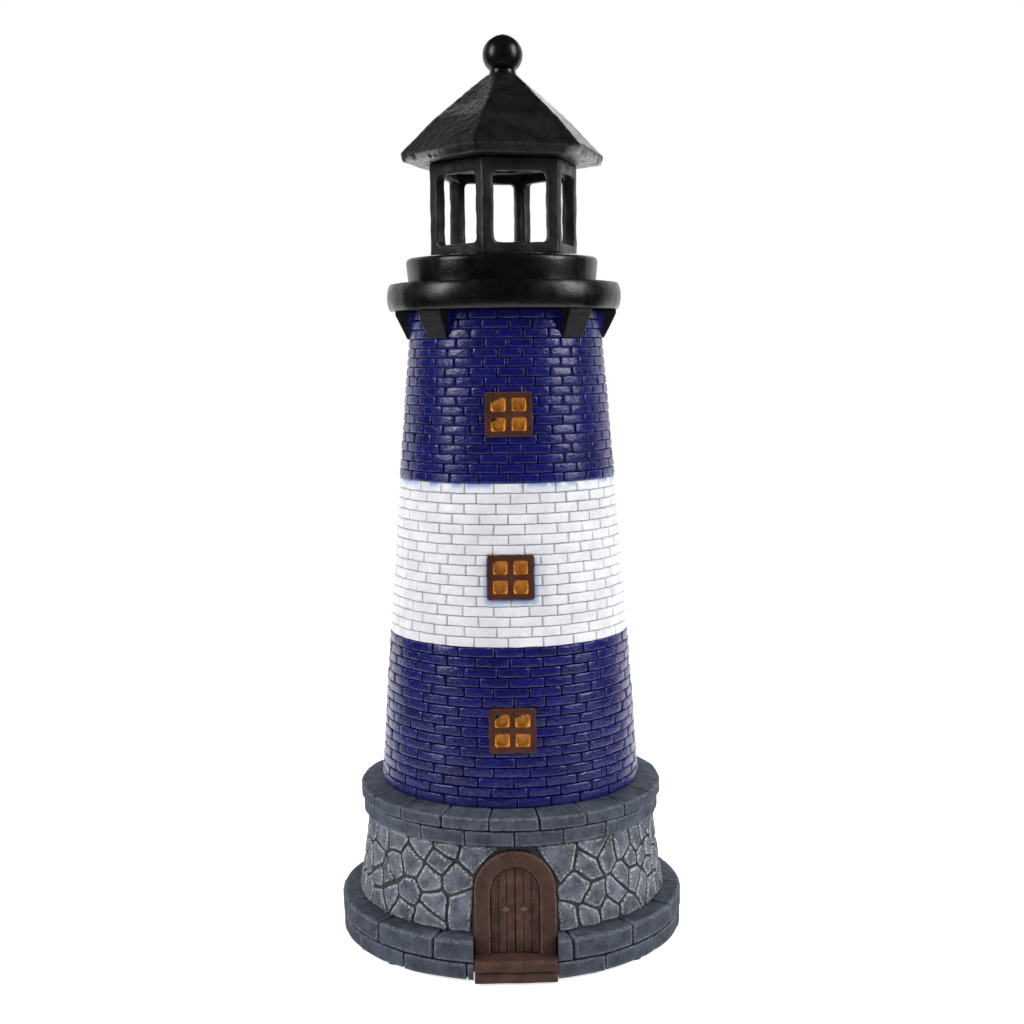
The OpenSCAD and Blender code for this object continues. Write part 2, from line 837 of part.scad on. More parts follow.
module lantern_roof() {
    hip_h = 16.5;
    hip_r = mix(roof_r, roof_top_r, (hip_h - fascia_h) / (roof_h - fascia_h)) + 1.2;
    color("black")
    translate([0, 0, roof_z])
        rotate([0, 0, lantern_turn - 90])
            difference() {
                union() {
                    cylinder(r1 = roof_r - fascia_lean, r2 = roof_r, h = fascia_h, $fn = 6);
                    translate([0, 0, fascia_h])
                        cylinder(r1 = roof_r, r2 = hip_r, h = hip_h - fascia_h, $fn = 6);
                    translate([0, 0, hip_h])
                        cylinder(r1 = hip_r, r2 = roof_top_r, h = roof_h - hip_h, $fn = 6);
                    translate([0, 0, -2])
                        cylinder(r = cage_r - (cage_wall + seat_gap) / cos(30), h = 3, $fn = 6);
                }
                translate([0, 0, -3])
                    cylinder(r1 = 18, r2 = 6, h = 22, $fn = 6);
                translate([0, 0, roof_h - 8])
                    cylinder(r = 3.1, h = 9, $fn = 32);
            }
}

module roof_finial() {
    color("black") {
        difference() {
            translate([0, 0, ball_z])
                sphere(r = ball_r);
            translate([0, 0, roof_z + roof_h - past])
                cylinder(r = ball_r, h = past);
        }
        translate([0, 0, roof_z + roof_h])
            cylinder(r1 = roof_top_r * 0.86, r2 = roof_top_r * 0.8, h = 2);
        translate([0, 0, roof_z + roof_h - 6])
            cylinder(r = 3, h = 7, $fn = 32);
    }
}

// ---- lamp ----------------------------------------------------------------------------------

module lamp_housing() {
    color("dimgray")
    difference() {
        rotate_extrude()
            polygon([
                [lamp_throat_r, cage_z - lamp_depth], [lamp_r, cage_z - lamp_depth], [lamp_r, cage_z],
                [lamp_flange_r, cage_z], [lamp_flange_r, lamp_flange_top],
                [lamp_r - lamp_wall, lamp_flange_top], [lamp_r - lamp_wall, lamp_flange_top - led_ledge],
                [lamp_throat_r, lamp_flange_top - led_ledge]
            ]);
        translate([0, 0, lamp_flange_top])
            rotate_extrude()
                translate([seal_at, 0])
                    circle(r = seal_r, $fn = 24);
    }
}

module lamp_nut() {
    color("gray")
    translate([0, 0, kerb_z - nut_t])
        difference() {
            cylinder(r = lamp_r + 5, h = nut_t, $fn = 6);
            translate([0, 0, -1])
                cylinder(r = lamp_r + thread_gap, h = nut_t + 2);
        }
}

module led_board() {
    color("green")
    translate([0, 0, lamp_flange_top - led_ledge])
        cylinder(r = lamp_r - lamp_wall - seat_gap, h = led_board_t);
}

// One light source faces the lens, the other lights the hollow tower behind its windows
module led_emitters() {
    board_low = lamp_flange_top - led_ledge;
    color("lemonchiffon") {
        translate([0, 0, board_low + led_board_t])
            cylinder(r = led_r, h = 2.4, $fn = 32);
        translate([0, 0, board_low - 3])
            cylinder(r = led_r, h = 3, $fn = 32);
    }
}

module lens_seal() {
    color("black")
    translate([0, 0, lamp_flange_top])
        rotate_extrude()
            translate([seal_at, 0])
                intersection() {
                    circle(r = seal_r - eps, $fn = 24);
                    translate([-seal_r, -2 * seal_r])
                        square([2 * seal_r, 2 * seal_r]);
                }
}

module lamp_lens() {
    rise = dome_h + lens_t;
    shell_r = (dome_r * dome_r + dome_h * dome_h) / (2 * dome_h);
    half = asin(dome_r / shell_r);
    color("ivory")
    translate([0, 0, lamp_flange_top])
        rotate_extrude()
            polygon(concat(
                [[dome_r - 1, 0], [lens_r, 0], [lens_r, lens_t], [dome_r, lens_t]],
                [for (i = [1:7]) let (a = half * (1 - i / 7))
                    [shell_r * sin(a), rise - shell_r + shell_r * cos(a)]],
                [for (i = [0:6]) let (a = half * i / 7)
                    [(shell_r - 1) * sin(a), rise - shell_r + (shell_r - 1) * cos(a)]]
            ));
}

module lens_ring() {
    color("dimgray")
    translate([0, 0, lamp_flange_top])
        difference() {
            cylinder(r = lamp_flange_r, h = lens_t + ring_t);
            translate([0, 0, -1])
                cylinder(r = lens_r + seat_gap, h = lens_t + 1);
            translate([0, 0, -1])
                cylinder(r = dome_r + seat_gap, h = 9);
        }
}

// ---- solar panel ---------------------------------------------------------------------------

module on_panel_pad() {
    on_wall(180, tower_r(panel_z), panel_z, tower_lean)
        translate([0, 0, panel_pad])
            children();
}

module panel_seal() {
    color("black")
    on_panel_pad()
        difference() {
            block([bezel_w, bezel_h, panel_seal_t]);
            translate([0, 0, -1])
                cylinder(r = 2 * lead_r, h = 3, $fn = 24);
            at_panel_screws()
                translate([0, 0, -1])
                    cylinder(r = panel_screw_r + 0.2, h = 3, $fn = 24);
        }
}

module solar_panel() {
    color("midnightblue")
    on_panel_pad()
        block([panel_w, panel_h, panel_t], panel_seal_t);
}

module solar_bezel() {
    depth = panel_t + 0.1;
    color("black")
    on_panel_pad()
        difference() {
            block([bezel_w, bezel_h, depth + bezel_cover], panel_seal_t);
            block([panel_w + 2 * seat_gap, panel_h + 2 * seat_gap, depth + 1], panel_seal_t - 1);
            block([panel_w - 2 * bezel_lip, panel_h - 2 * bezel_lip, past]);
            at_panel_screws() {
                cylinder(r = panel_screw_r + 0.2, h = past, $fn = 24);
                translate([0, 0, panel_seal_t + depth + bezel_cover - screw_head_h])
                    cylinder(r = panel_screw_head_r + 0.2, h = past, $fn = 32);
            }
        }
}

module panel_screws() {
    color("silver")
    on_panel_pad()
        at_panel_screws()
            translate([0, 0, panel_seal_t + panel_t + 0.1 + bezel_cover])
                mirror([0, 0, 1])
                    screw(panel_screw_head_r, screw_head_h, panel_screw_r, panel_screw_l);
}

// ---- base, battery and switch --------------------------------------------------------------

module cover_tongues(grow, low, high) {
    for (y = [-1, 1])
        translate([-cover_l / 2 - tongue_l - grow, bay_y + y * tongue_y - tongue_w / 2 - grow, low])
            cube([tongue_l + 2 + 2 * grow, tongue_w + 2 * grow, high - low]);
}

module base_plate() {
    color("dimgray")
    difference() {
        union() {
            translate([0, 0, plate_z])
                cylinder(r = plate_r, h = plate_t);
            translate([0, bay_y, 0])
                block([bay_in_l + 2 * bay_wall, bay_in_w + 2 * bay_wall, bay_top + bay_wall - plate_z],
                      plate_z);
            at_board_posts()
                translate([0, 0, plate_z])
                    cylinder(r = board_post_r, h = board_z - plate_z, $fn = 32);
        }
        translate([0, bay_y, 0])
            block([bay_in_l, bay_in_w, bay_top - plate_z + 1], plate_z - 1);
        translate([0, bay_y, 0])
            block([cover_l + 2 * move_gap, cover_w + 2 * move_gap, cover_recess_h + 1], plate_z - 1);
        cover_tongues(move_gap, plate_z + tongue_lip, plate_top + eps);
        translate([-cover_l / 2, bay_y - tongue_y - tongue_w / 2 - move_gap, plate_z + tongue_lip])
            cube([(cover_l - bay_in_l) / 2, tongue_w + 2 * move_gap, plate_t]);
        translate([-cover_l / 2, bay_y + tongue_y - tongue_w / 2 - move_gap, plate_z + tongue_lip])
            cube([(cover_l - bay_in_l) / 2, tongue_w + 2 * move_gap, plate_t]);
        for (x = [-1, 1])
            translate([x * (bay_in_l / 2 - contact_t / 2 - 0.1), bay_y, bay_top - 1])
                block([contact_t + 0.2, 3.4, bay_wall + 2]);
        at_plate_screws() {
            translate([0, 0, plate_z - 1])
                cylinder(r = screw_r + 0.2, h = plate_t + 2, $fn = 24);
            translate([0, 0, plate_z - 1])
                cylinder(r = screw_head_r + 0.3, h = screw_head_h + 1.1, $fn = 32);
        }
        at_board_posts()
            translate([0, 0, plate_top])
                cylinder(r = board_screw_r + thread_gap, h = board_post_h + 1, $fn = 24);
        translate([0, switch_y, 0]) {
            block([stem[0] + switch_travel + 2 * move_gap, stem[1] + 2 * move_gap, plate_t + 2], plate_z - 1);
            block([knob[0] + switch_travel + 2 * move_gap, knob[1] + 2 * move_gap, knob_recess_h + 1],
                  plate_z - 1);
        }
    }
}

module base_gasket() {
    color("black")
    translate([0, 0, plate_top])
        tube(rebate_r - seat_gap, plinth_bore + seat_gap, gasket_t);
}

module plate_screws() {
    color("silver")
    at_plate_screws()
        translate([0, 0, plate_z + 0.1])
            screw(screw_head_r, screw_head_h, screw_r, 7.5);
}

module rubber_pads() {
    color("black")
    for (i = [0:3])
        rotate([0, 0, 90 * i + 45])
            translate([(rebate_r + plinth_r - plinth_draw) / 2, 0, 0])
                cylinder(r = pad_r, h = pad_lift + pad_inset, $fn = 32);
}

// Tilts out about the edge that carries its two tongues
module battery_cover() {
    grip_w = 1.2;
    color("dimgray")
    union() {
        difference() {
            translate([0, bay_y, 0])
                block([cover_l, cover_w, cover_t], cover_z);
            for (i = [0:3])
                translate([cover_l / 2 - 5 - 2 * grip_w * i, bay_y, cover_z])
                    block([grip_w, cover_w * 0.5, 1.2], -0.6);
        }
        cover_tongues(0, cover_z + cover_t - tongue_t, cover_z + cover_t);
    }
}

module battery_cell() {
    color("seagreen")
    translate([cell_x, bay_y, cell_z])
        rotate([0, 90, 0]) {
            cylinder(r = cell_r, h = cell_len);
            cylinder(r = 2.6, h = cell_len + cap_len, $fn = 32);
        }
}

// A coil that widens towards its contact plate
module contact_spring() {
    turns = 3.25;
    steps = 40;
    wire_r = 0.4;
    length = spring_len - cell_gap - 2 * wire_r;
    route = [
        for (i = [0:steps])
            let (t = i / steps, a = 360 * turns * t, r = mix(5.6, 3.2, t))
            [wire_r + length * t, r * cos(a), r * sin(a)]
    ];
    color("silver")
    translate([-bay_in_l / 2 + contact_t, bay_y, cell_z])
        wire(route, wire_r, [1, 0, 0], [0, 0, 1], unit(route[steps] - route[steps - 1]));
}

module contact_plates() {
    plate = [contact_t, 12, 12];
    color("silver")
    for (x = [-1, 1])
        translate([x * (bay_in_l / 2 - contact_t / 2), bay_y, 0]) {
            block(plate, cell_z - plate[2] / 2);
            block([contact_t, 3, bay_top + bay_wall + 2 - cell_z], cell_z);
        }
}

module circuit_board() {
    color("darkgreen")
    difference() {
        translate([0, board_y, 0])
            block([board[0], board[1], board_t], board_z);
        at_board_posts()
            translate([0, 0, board_z - 1])
                cylinder(r = board_screw_r + 0.2, h = board_t + 2, $fn = 24);
    }
}

module board_components() {
    color("ivory")
    for (at = [panel_plug, lamp_plug, battery_plug])
        translate([at[0], at[1], 0])
            block(plug, board_top);
    color("black") {
        translate([-8, 22, 0])
            block([6, 5, 1.6], board_top);
        translate([2, 25, 0])
            block([5, 3, 1.4], board_top);
        translate([14, 28, board_top])
            cylinder(r = 3, h = 4, $fn = 32);
    }
    color("tan")
    for (i = [0:3])
        translate([-16 + 3 * i, 15.5, 0])
            block([1.6, 3, 0.9], board_top);
}

module board_screws() {
    color("silver")
    at_board_posts()
        translate([0, 0, board_top + 1.2])
            mirror([0, 0, 1])
                screw(1.9, 1.2, board_screw_r, board_t + board_post_h - 1);
}

module switch_body() {
    inner_l = carriage[0] + switch_travel + 2 * move_gap;
    inner_w = carriage[1] + 2 * move_gap;
    inner_h = carriage[2] + 2 * slide_lift;
    color("black")
    translate([0, switch_y, plate_top])
        difference() {
            block([inner_l + 2 * switch_wall, inner_w + 2 * switch_wall, inner_h + switch_wall]);
            block([inner_l, inner_w, inner_h + 1], -1);
        }
}

module switch_slider() {
    color("white")
    translate([-switch_travel / 2, switch_y, 0]) {
        block(carriage, plate_top + slide_lift);
        block([stem[0], stem[1], plate_t + 1 - knob_recess_h], plate_z + knob_recess_h - slide_lift - 0.1);
        block(knob, plate_z + knob_recess_h - slide_lift - knob[2]);
    }
}

// ---- leads, inside the castings ------------------------------------------------------------

module lamp_lead() {
    start = [5.5, 0, lamp_flange_top - led_ledge];
    end = [lamp_plug[0], lamp_plug[1], board_top + plug[2]];
    color("crimson")
    wire(spline([
        start, start - [0, 0, 8], [5, 12, deck_z - 9], [4, 26, deck_z - 27], [4, 31, 150],
        [4, 34, 60], end + [0, 0, 8], end
    ]), lead_r, [1, 0, 0], [0, 0, -1], [0, 0, -1]);
}

module panel_lead() {
    back = [0, -cos(tower_lean), -sin(tower_lean)];
    start = [0, tower_r(panel_z), panel_z] - (panel_pad + panel_seal_t) * back;
    end = [panel_plug[0], panel_plug[1], board_top + plug[2]];
    color("orangered")
    wire(spline([
        start, start + 11 * back, [-4, start[1] - 14, start[2] - 10], [-11, 35, 60], end + [0, 0, 8], end
    ]), lead_r, [1, 0, 0], back, [0, 0, -1]);
}

module battery_leads() {
    high = bay_top + bay_wall + 1.1;
    color("crimson")
    for (side = [-1, 1]) {
        start = [side * (bay_in_l / 2 - contact_t), bay_y, high];
        end = [battery_plug[0] + 1.4 * side, battery_plug[1], board_top + plug[2]];
        wire(spline([
            start, start - [side * 6, 0, 0], [end[0] + side * 2, bay_y + 14, high + 1],
            [end[0], end[1] - 5, end[2] + 6], end + [0, 0, 4], end
        ]), lead_r, [1, side * 1.5, 0.7], [-side, 0, 0], [0, 0, -1]);
    }
}

base_plinth();
stone_drum();
coping_ring();
tower_wall();
door_surround();
door_leaf_left();
door_leaf_right();
door_pulls();
door_step();
window_frame_lower();
window_frame_middle();
window_frame_upper();
window_panes_lower();
window_panes_middle();
window_panes_upper();
gallery_brackets();
gallery_deck();
lantern_kerb();
lantern_cage();
lantern_roof();
roof_finial();
lamp_housing();
lamp_nut();
led_board();
led_emitters();
lens_seal();
lamp_lens();
lens_ring();
solar_bezel();
solar_panel();
panel_seal();
panel_screws();
base_plate();
base_gasket();
plate_screws();
rubber_pads();
battery_cover();
battery_cell();
contact_spring();
contact_plates();
circuit_board();
board_components();
board_screws();
switch_body();
switch_slider();
lamp_lead();
panel_lead();
battery_leads();
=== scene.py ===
# %% [markdown]
# # Garden lighthouse ornament
# The ornament is a stack of resin castings: a slate plinth, a drum of rubble stone, a slate coping,
# a tower of painted bricks and a black gallery with an open lantern. Its CAD model fixes every size.
# This script dresses that model: it loads it first, so that each new piece can be put exactly where
# the solid that it stands for is.

# %% Load the fixed model
import json
import random
from math import asin, atan, cos, pi, radians, sin, sqrt, tau

import bmesh
import bpy
from bmesh.types import BMEdge, BMFace, BMVert
from mathutils import Matrix, Vector, noise


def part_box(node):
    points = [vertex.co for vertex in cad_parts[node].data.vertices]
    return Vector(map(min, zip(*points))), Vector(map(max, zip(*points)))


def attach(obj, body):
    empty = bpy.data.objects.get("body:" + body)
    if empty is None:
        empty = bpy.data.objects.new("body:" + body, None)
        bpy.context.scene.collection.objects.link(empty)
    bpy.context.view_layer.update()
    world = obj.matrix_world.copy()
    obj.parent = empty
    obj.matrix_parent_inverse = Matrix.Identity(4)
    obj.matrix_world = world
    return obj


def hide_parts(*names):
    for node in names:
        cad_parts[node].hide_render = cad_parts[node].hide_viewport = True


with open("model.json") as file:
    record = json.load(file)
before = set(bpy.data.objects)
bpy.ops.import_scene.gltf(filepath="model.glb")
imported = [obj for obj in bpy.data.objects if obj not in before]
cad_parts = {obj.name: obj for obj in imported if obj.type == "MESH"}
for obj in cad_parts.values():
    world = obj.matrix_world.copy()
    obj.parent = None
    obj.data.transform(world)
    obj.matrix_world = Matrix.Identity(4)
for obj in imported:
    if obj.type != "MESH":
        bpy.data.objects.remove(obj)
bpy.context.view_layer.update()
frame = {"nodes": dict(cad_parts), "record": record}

MM = 0.001
ALL = "lighthouse"
noise.seed_set(7)                  # the same waver on every run
scene = bpy.context.scene

# %% [markdown]
# ## Heights and radii
# A piece that replaces a solid takes its size from that solid, so the main heights are read from the
# nodes' boxes. The side of the tower swells a little between its foot and its top, and the drum's side
# is slightly hollow, as a potter's profile is. Two small functions give those curves for every height.

# %% Measure the castings
low, high = {}, {}
for name in frame["nodes"]:
    low[name], high[name] = (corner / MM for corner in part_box(name))

PLINTH_Z = low["door_step"].z
DRUM_Z = high["base_plinth"].z
COPING_Z = high["stone_drum"].z
TOWER_Z = high["coping_ring"].z
DECK_Z = high["tower_wall"].z
KERB_Z = high["gallery_deck"].z
CAGE_Z = high["lantern_kerb"].z
PLINTH_R = high["base_plinth"].x
COPING_R = high["coping_ring"].x
DECK_R = high["gallery_deck"].x
KERB_R = high["lantern_kerb"].x
DRUM_R = (62.2, 57.6)             # at its foot and at its top
DRUM_HOLLOW = 0.4
TOWER_R = (52.3, 37.3)
TOWER_BELLY = 0.6


def drum_radius(z):
    t = (z - DRUM_Z) / (COPING_Z - DRUM_Z)
    return DRUM_R[0] + (DRUM_R[1] - DRUM_R[0]) * t - DRUM_HOLLOW * sin(pi * t)


def tower_radius(z):
    t = (z - TOWER_Z) / (DECK_Z - TOWER_Z)
    return TOWER_R[0] + (TOWER_R[1] - TOWER_R[0]) * t + TOWER_BELLY * sin(pi * t)


seats = (PLINTH_Z, DRUM_Z, COPING_Z, TOWER_Z, DECK_Z, KERB_Z, CAGE_Z)
print("seats at", [round(z, 1) for z in seats])

# %% [markdown]
# ## Everyday steps
# A bmesh becomes a mesh, a mesh becomes an object, and a paint is a chain of small nodes. Each of these
# steps has a short function here, so that the cells below say what is made. Colours are noted as they
# look on a screen, from 0 to 255, and turned into the linear light that a shader works in.

# %% Helpers for meshes and objects
def mesh_of(name, bm, material=None):
    """Turns a bmesh into a mesh and frees it."""
    mesh = bpy.data.meshes.new(name)
    bm.to_mesh(mesh)
    bm.free()
    if material:
        mesh.materials.append(material)
    return mesh


def stand(name, data):
    made = bpy.data.objects.new(name, data)
    scene.collection.objects.link(made)
    return made


def only(kind, geom):
    """The vertices, edges or faces in a mixed list."""
    return [g for g in geom if isinstance(g, kind)]


def clamp(value):
    return min(max(value, 0.0), 1.0)

# %% Helpers for shader nodes
def screen(red, green, blue):
    def linear(c):
        c /= 255
        return c / 12.92 if c <= 0.04045 else ((c + 0.055) / 1.055) ** 2.4
    return (linear(red), linear(green), linear(blue), 1.0)


def paint(name):
    """An empty material with its Principled shader, ready for nodes."""
    material = bpy.data.materials.new(name)
    material.use_nodes = True
    return material, material.node_tree, material.node_tree.nodes["Principled BSDF"]


def wire(tree, value, socket):
    """Gives a socket a number, a colour or another node's output."""
    if isinstance(value, bpy.types.NodeSocket):
        tree.links.new(value, socket)
    else:
        socket.default_value = value


def feed(tree, made, **values):
    """Wires a node's sockets by name, with _ for a space."""
    for label, value in values.items():
        wire(tree, value, made.inputs[label.replace("_", " ")])


def node(tree, kind, settings=None, **values):
    """Adds a node, sets its options, feeds its sockets and returns its outputs."""
    made = tree.nodes.new("ShaderNode" + kind)
    for label, value in (settings or {}).items():
        setattr(made, label, value)
    feed(tree, made, **values)
    return made.outputs


def maths(tree, how, a, b=0.5, c=None):
    made = tree.nodes.new("ShaderNodeMath")
    made.operation = how
    for value, socket in zip((a, b, c), made.inputs):
        if value is not None:
            wire(tree, value, socket)
    return made.outputs[0]


def place(tree, stretch=(1, 1, 1)):
    """Object coordinates in millimetres, stretched where asked."""
    coords = node(tree, "TexCoord")["Object"]
    return node(tree, "Mapping", Vector=coords, Scale=[s / MM for s in stretch])["Vector"]


def along(tree, at, axis):
    return node(tree, "SeparateXYZ", Vector=at)[axis]


def grain(tree, at, scale, detail=3.0, rough=0.6, distortion=0.0):
    return node(tree, "TexNoise", Vector=at, Scale=scale, Detail=detail, Roughness=rough,
                Distortion=distortion)["Fac"]


def window_of(tree, value, low_edge, high_edge, to_low=0.0, to_high=1.0):
    """Stretches the part of a value between two edges over a new range, smoothly."""
    return node(tree, "MapRange", {"interpolation_type": "SMOOTHSTEP"}, Value=value, From_Min=low_edge,
                From_Max=high_edge, To_Min=to_low, To_Max=to_high)["Result"]


def patchy(tree, at, scale, to_low, to_high, detail=3.0):
    """A roughness that wanders between two values."""
    return window_of(tree, grain(tree, at, scale, detail), 0.3, 0.7, to_low, to_high)


def blend(tree, factor, a, b):
    return node(tree, "Mix", {"data_type": "RGBA"}, Factor=factor, A=a, B=b)["Result"]


def bump(tree, height, strength, distance=0.3):
    """Bump with its distance in millimetres."""
    return node(tree, "Bump", Height=height, Strength=strength, Distance=distance * MM)["Normal"]


def attribute(tree, name):
    return node(tree, "Attribute", {"attribute_name": name})["Fac"]

# %% [markdown]
# ## Camera
# The view is a little above the middle of the tower and a long way off for such a small object, which
# keeps its sides nearly parallel. A focal length of 1530 pixels on a frame of 1024 sets the lens. The
# camera stands on the front, tips down by six degrees and leans by a little over half a degree.

# %% Place the camera
FRAME_PX = 1024
FOCAL_PX = 1530
CAMERA_AT = Vector((-11.9, -620.2, 235.4)) * MM
CAMERA_TILT = radians(5.99)
CAMERA_PAN = radians(-1.265)
CAMERA_ROLL = radians(-0.63)

camera_data = bpy.data.cameras.new("camera")
camera_data.sensor_width = 36
camera_data.lens = 36 * FOCAL_PX / FRAME_PX
camera = stand("camera", camera_data)
camera.matrix_world = (
    Matrix.Translation(CAMERA_AT)
    @ Matrix.Rotation(CAMERA_PAN, 4, "Z")
    @ Matrix.Rotation(pi / 2 - CAMERA_TILT, 4, "X")
    @ Matrix.Rotation(CAMERA_ROLL, 4, "Z")
)
scene.camera = camera
print("lens in mm:", round(camera_data.lens, 2))

# %% [markdown]
# ## Light and floor
# Two tall soft boxes stand to the left and the right, and the front stays plain. That gives the ball on
# the roof its two highlights and leaves the lantern's front side darker than its flanks. The floor and
# the sky look white to the camera and to reflections, but light the object no more than a plain room
# would, so that colours come out as they are written. A dark cloth hangs round the front and the sides,
# behind the lamps, where only reflections see it: black paint stays black beside its highlights.

# %% Build the studio
def studio_light(name, at, size, power):
    data = bpy.data.lights.new(name, "AREA")
    data.shape = "RECTANGLE"
    data.size, data.size_y = size
    data.energy = power
    light = stand(name, data)
    light.location = at
    toward = Vector((0, 0, 0.19)) - Vector(at)
    light.rotation_euler = toward.to_track_quat("-Z", "Y").to_euler()


studio_light("light_left", (-1.15, -0.5, 0.75), (0.24, 0.7), 11.2)
studio_light("light_right", (1.12, -0.4, 0.75), (0.24, 0.8), 12.4)
studio_light("light_back", (0.1, 1.3, 1.1), (1.0, 0.6), 8)


def white_to_the_eye(tree):
    """A mask that is 1 for rays from the camera, in mirrors and through glass."""
    rays = node(tree, "LightPath")
    seen = rays["Is Camera Ray"]
    for kind in ("Is Glossy Ray", "Is Transmission Ray"):
        seen = maths(tree, "MAXIMUM", seen, rays[kind])
    return seen


ROOM, WHITE = 0.36, 1.0
scene.view_settings.view_transform = "Standard"
world = bpy.data.worlds.new("studio")
scene.world = world
world.use_nodes = True
sky = world.node_tree
strength = node(sky, "MapRange", Value=white_to_the_eye(sky), To_Min=ROOM, To_Max=WHITE)["Result"]
feed(sky, sky.nodes["Background"], Color=(1, 1, 1, 1), Strength=strength)

# %% Lay the floor
floor_bm = bmesh.new()
bmesh.ops.create_grid(floor_bm, x_segments=2, y_segments=2, size=6)
floor_paint, tree, base = paint("floor")
glow = maths(tree, "MULTIPLY", white_to_the_eye(tree), 0.72)
feed(tree, base, Base_Color=(0.9, 0.9, 0.9, 1), Roughness=0.9, Emission_Color=(1, 1, 1, 1),
     Emission_Strength=glow)
floor = stand("floor", mesh_of("floor", floor_bm, floor_paint))

# %% Hang the dark cloth
cloth_paint, tree, base = paint("cloth")
feed(tree, base, Base_Color=(0.02, 0.02, 0.02, 1), Specular_IOR_Level=0.0)
FOLD = (1.5, 0.87, 0.003)           # where the cloth turns up from the floor
TOP = (1.5, 0.87, 1.5)
cloth_bm = bmesh.new()
for a, b, turn in (((0.3, 0.174, 0.003), FOLD, 240), (FOLD, TOP, 240), (TOP, (0.01, 0.01, 1.7), 360)):
    hem = [cloth_bm.verts.new(co) for co in (a, b)]
    bmesh.ops.spin(cloth_bm, geom=hem + [cloth_bm.edges.new(hem)], angle=-radians(turn), steps=turn // 6,
                   axis=(0, 0, 1), cent=(0, 0, 0))
cloth = stand("cloth", mesh_of("cloth", cloth_bm, cloth_paint))
cloth.visible_camera = cloth.visible_diffuse = False
cloth.visible_shadow = cloth.visible_transmission = False

# %% [markdown]
# ## From a mesh to a piece
# Every piece ends the same way: its doubles are merged, its faces turn outwards, it gets its finish, and
# it rides on the lighthouse in place of the solid that it stands for. Lengths are in millimetres while a
# piece is being made, and one scale at the end brings it to Blender's metres.

# %% Helpers for finishing a piece
def piece(name, bm, material, slot, *nodes, flat=35, merge=1e-4):
    """Turns a mesh in millimetres into a finished piece that stands for some CAD nodes."""
    if merge:
        bmesh.ops.remove_doubles(bm, verts=bm.verts, dist=merge)
    bmesh.ops.recalc_face_normals(bm, faces=bm.faces)
    bmesh.ops.scale(bm, vec=(MM, MM, MM), verts=bm.verts)
    mesh = mesh_of(name, bm, material)
    mesh.shade_smooth()
    mesh.set_sharp_from_angle(angle=radians(flat))
    made = stand(name, mesh)
    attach(made, ALL)
    if nodes:
        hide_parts(*nodes)
    print(name, len(mesh.vertices), "vertices,", len(mesh.polygons), "faces")


def lathe(bm, profile, start=0.0, angle=tau, steps=144):
    """Spins a profile of (radius, height) points round the axis. A closed profile gives a ring."""
    whole = angle > tau - 1e-6
    verts = [bm.verts.new((r * cos(start), r * sin(start), z)) for r, z in profile]
    geom = list(verts)
    if whole:
        geom += [bm.edges.new((verts[i - 1], verts[i])) for i in range(len(verts))]
    else:
        geom.append(bm.faces.new(verts))
    bmesh.ops.spin(bm, geom=geom, cent=(0, 0, 0), axis=(0, 0, 1), angle=angle, steps=steps,
                   use_merge=whole, use_normal_flip=False)


def curve_points(centre, radius, start, end, count):
    """Points on an arc in a profile, with angles in degrees."""
    angles = [radians(start + (end - start) * i / count) for i in range(count + 1)]
    return [(centre[0] + radius * cos(a), centre[1] + radius * sin(a)) for a in angles]


def roughen(verts, size, amount, seed=0.0, across=None):
    """Moves vertices by smooth noise of a given size, as a hand-cast surface wavers."""
    shift = Vector((seed, seed * 1.7, -seed))
    for v in verts:
        push = noise.noise_vector(v.co / size + shift) * amount
        v.co += push if across is None else push * across

# %% [markdown]
# ## Shared effects
# Three effects come back on nearly every casting, so each is a node group: a mottled mix of tones, the
# pale scuff marks of a dry brush on proud edges, which on the bricks also serve as a painted highlight,
# and the pinholes and brush marks of paint.

# %% Build the shared effects
def group(name, inputs, outputs):
    """A node group with named sockets: (name, kind, default) for inputs, (name, kind) for outputs."""
    kinds = {"float": "NodeSocketFloat", "colour": "NodeSocketColor", "vector": "NodeSocketVector"}
    tree = bpy.data.node_groups.new(name, "ShaderNodeTree")
    for label, kind, value in inputs:
        socket = tree.interface.new_socket(label, in_out="INPUT", socket_type=kinds[kind])
        if value is not None:
            socket.default_value = value
    for label, kind in outputs:
        tree.interface.new_socket(label, in_out="OUTPUT", socket_type=kinds[kind])
    return tree, tree.nodes.new("NodeGroupInput").outputs, tree.nodes.new("NodeGroupOutput").inputs


def use(tree, node_group, **values):
    return node(tree, "Group", {"node_tree": node_group}, **values)


mottle, m_in, m_out = group("mottle", [("At", "vector", None), ("Dark", "colour", (0.1, 0.1, 0.1, 1)),
                                       ("Pale", "colour", (0.3, 0.3, 0.3, 1)), ("Scale", "float", 0.2)],
                            [("Colour", "colour"), ("Fine", "float")])
wide = window_of(mottle, grain(mottle, m_in["At"], m_in["Scale"], 5, 0.65), 0.32, 0.7)
wire(mottle, blend(mottle, wide, m_in["Dark"], m_in["Pale"]), m_out["Colour"])
wire(mottle, grain(mottle, m_in["At"], 2.4, 4, 0.7), m_out["Fine"])

dry_brush_and_highlight, d_in, d_out = group("dry_brush_and_highlight", [("At", "vector", None), ("Edge", "float", 0.0),
                                             ("Reach", "float", 0.5)], [("Mask", "float")])
streaks = window_of(dry_brush_and_highlight, grain(dry_brush_and_highlight, d_in["At"], 1.1, 5, 0.75), 0.42, 0.62)
near_edge = maths(dry_brush_and_highlight, "MULTIPLY", d_in["Edge"], streaks)
spots = window_of(dry_brush_and_highlight, grain(dry_brush_and_highlight, d_in["At"], 1.9, 3, 0.6), 0.66, 0.74)
caught = maths(dry_brush_and_highlight, "MAXIMUM", near_edge, spots)
wire(dry_brush_and_highlight, maths(dry_brush_and_highlight, "MULTIPLY", caught, d_in["Reach"]), d_out["Mask"])

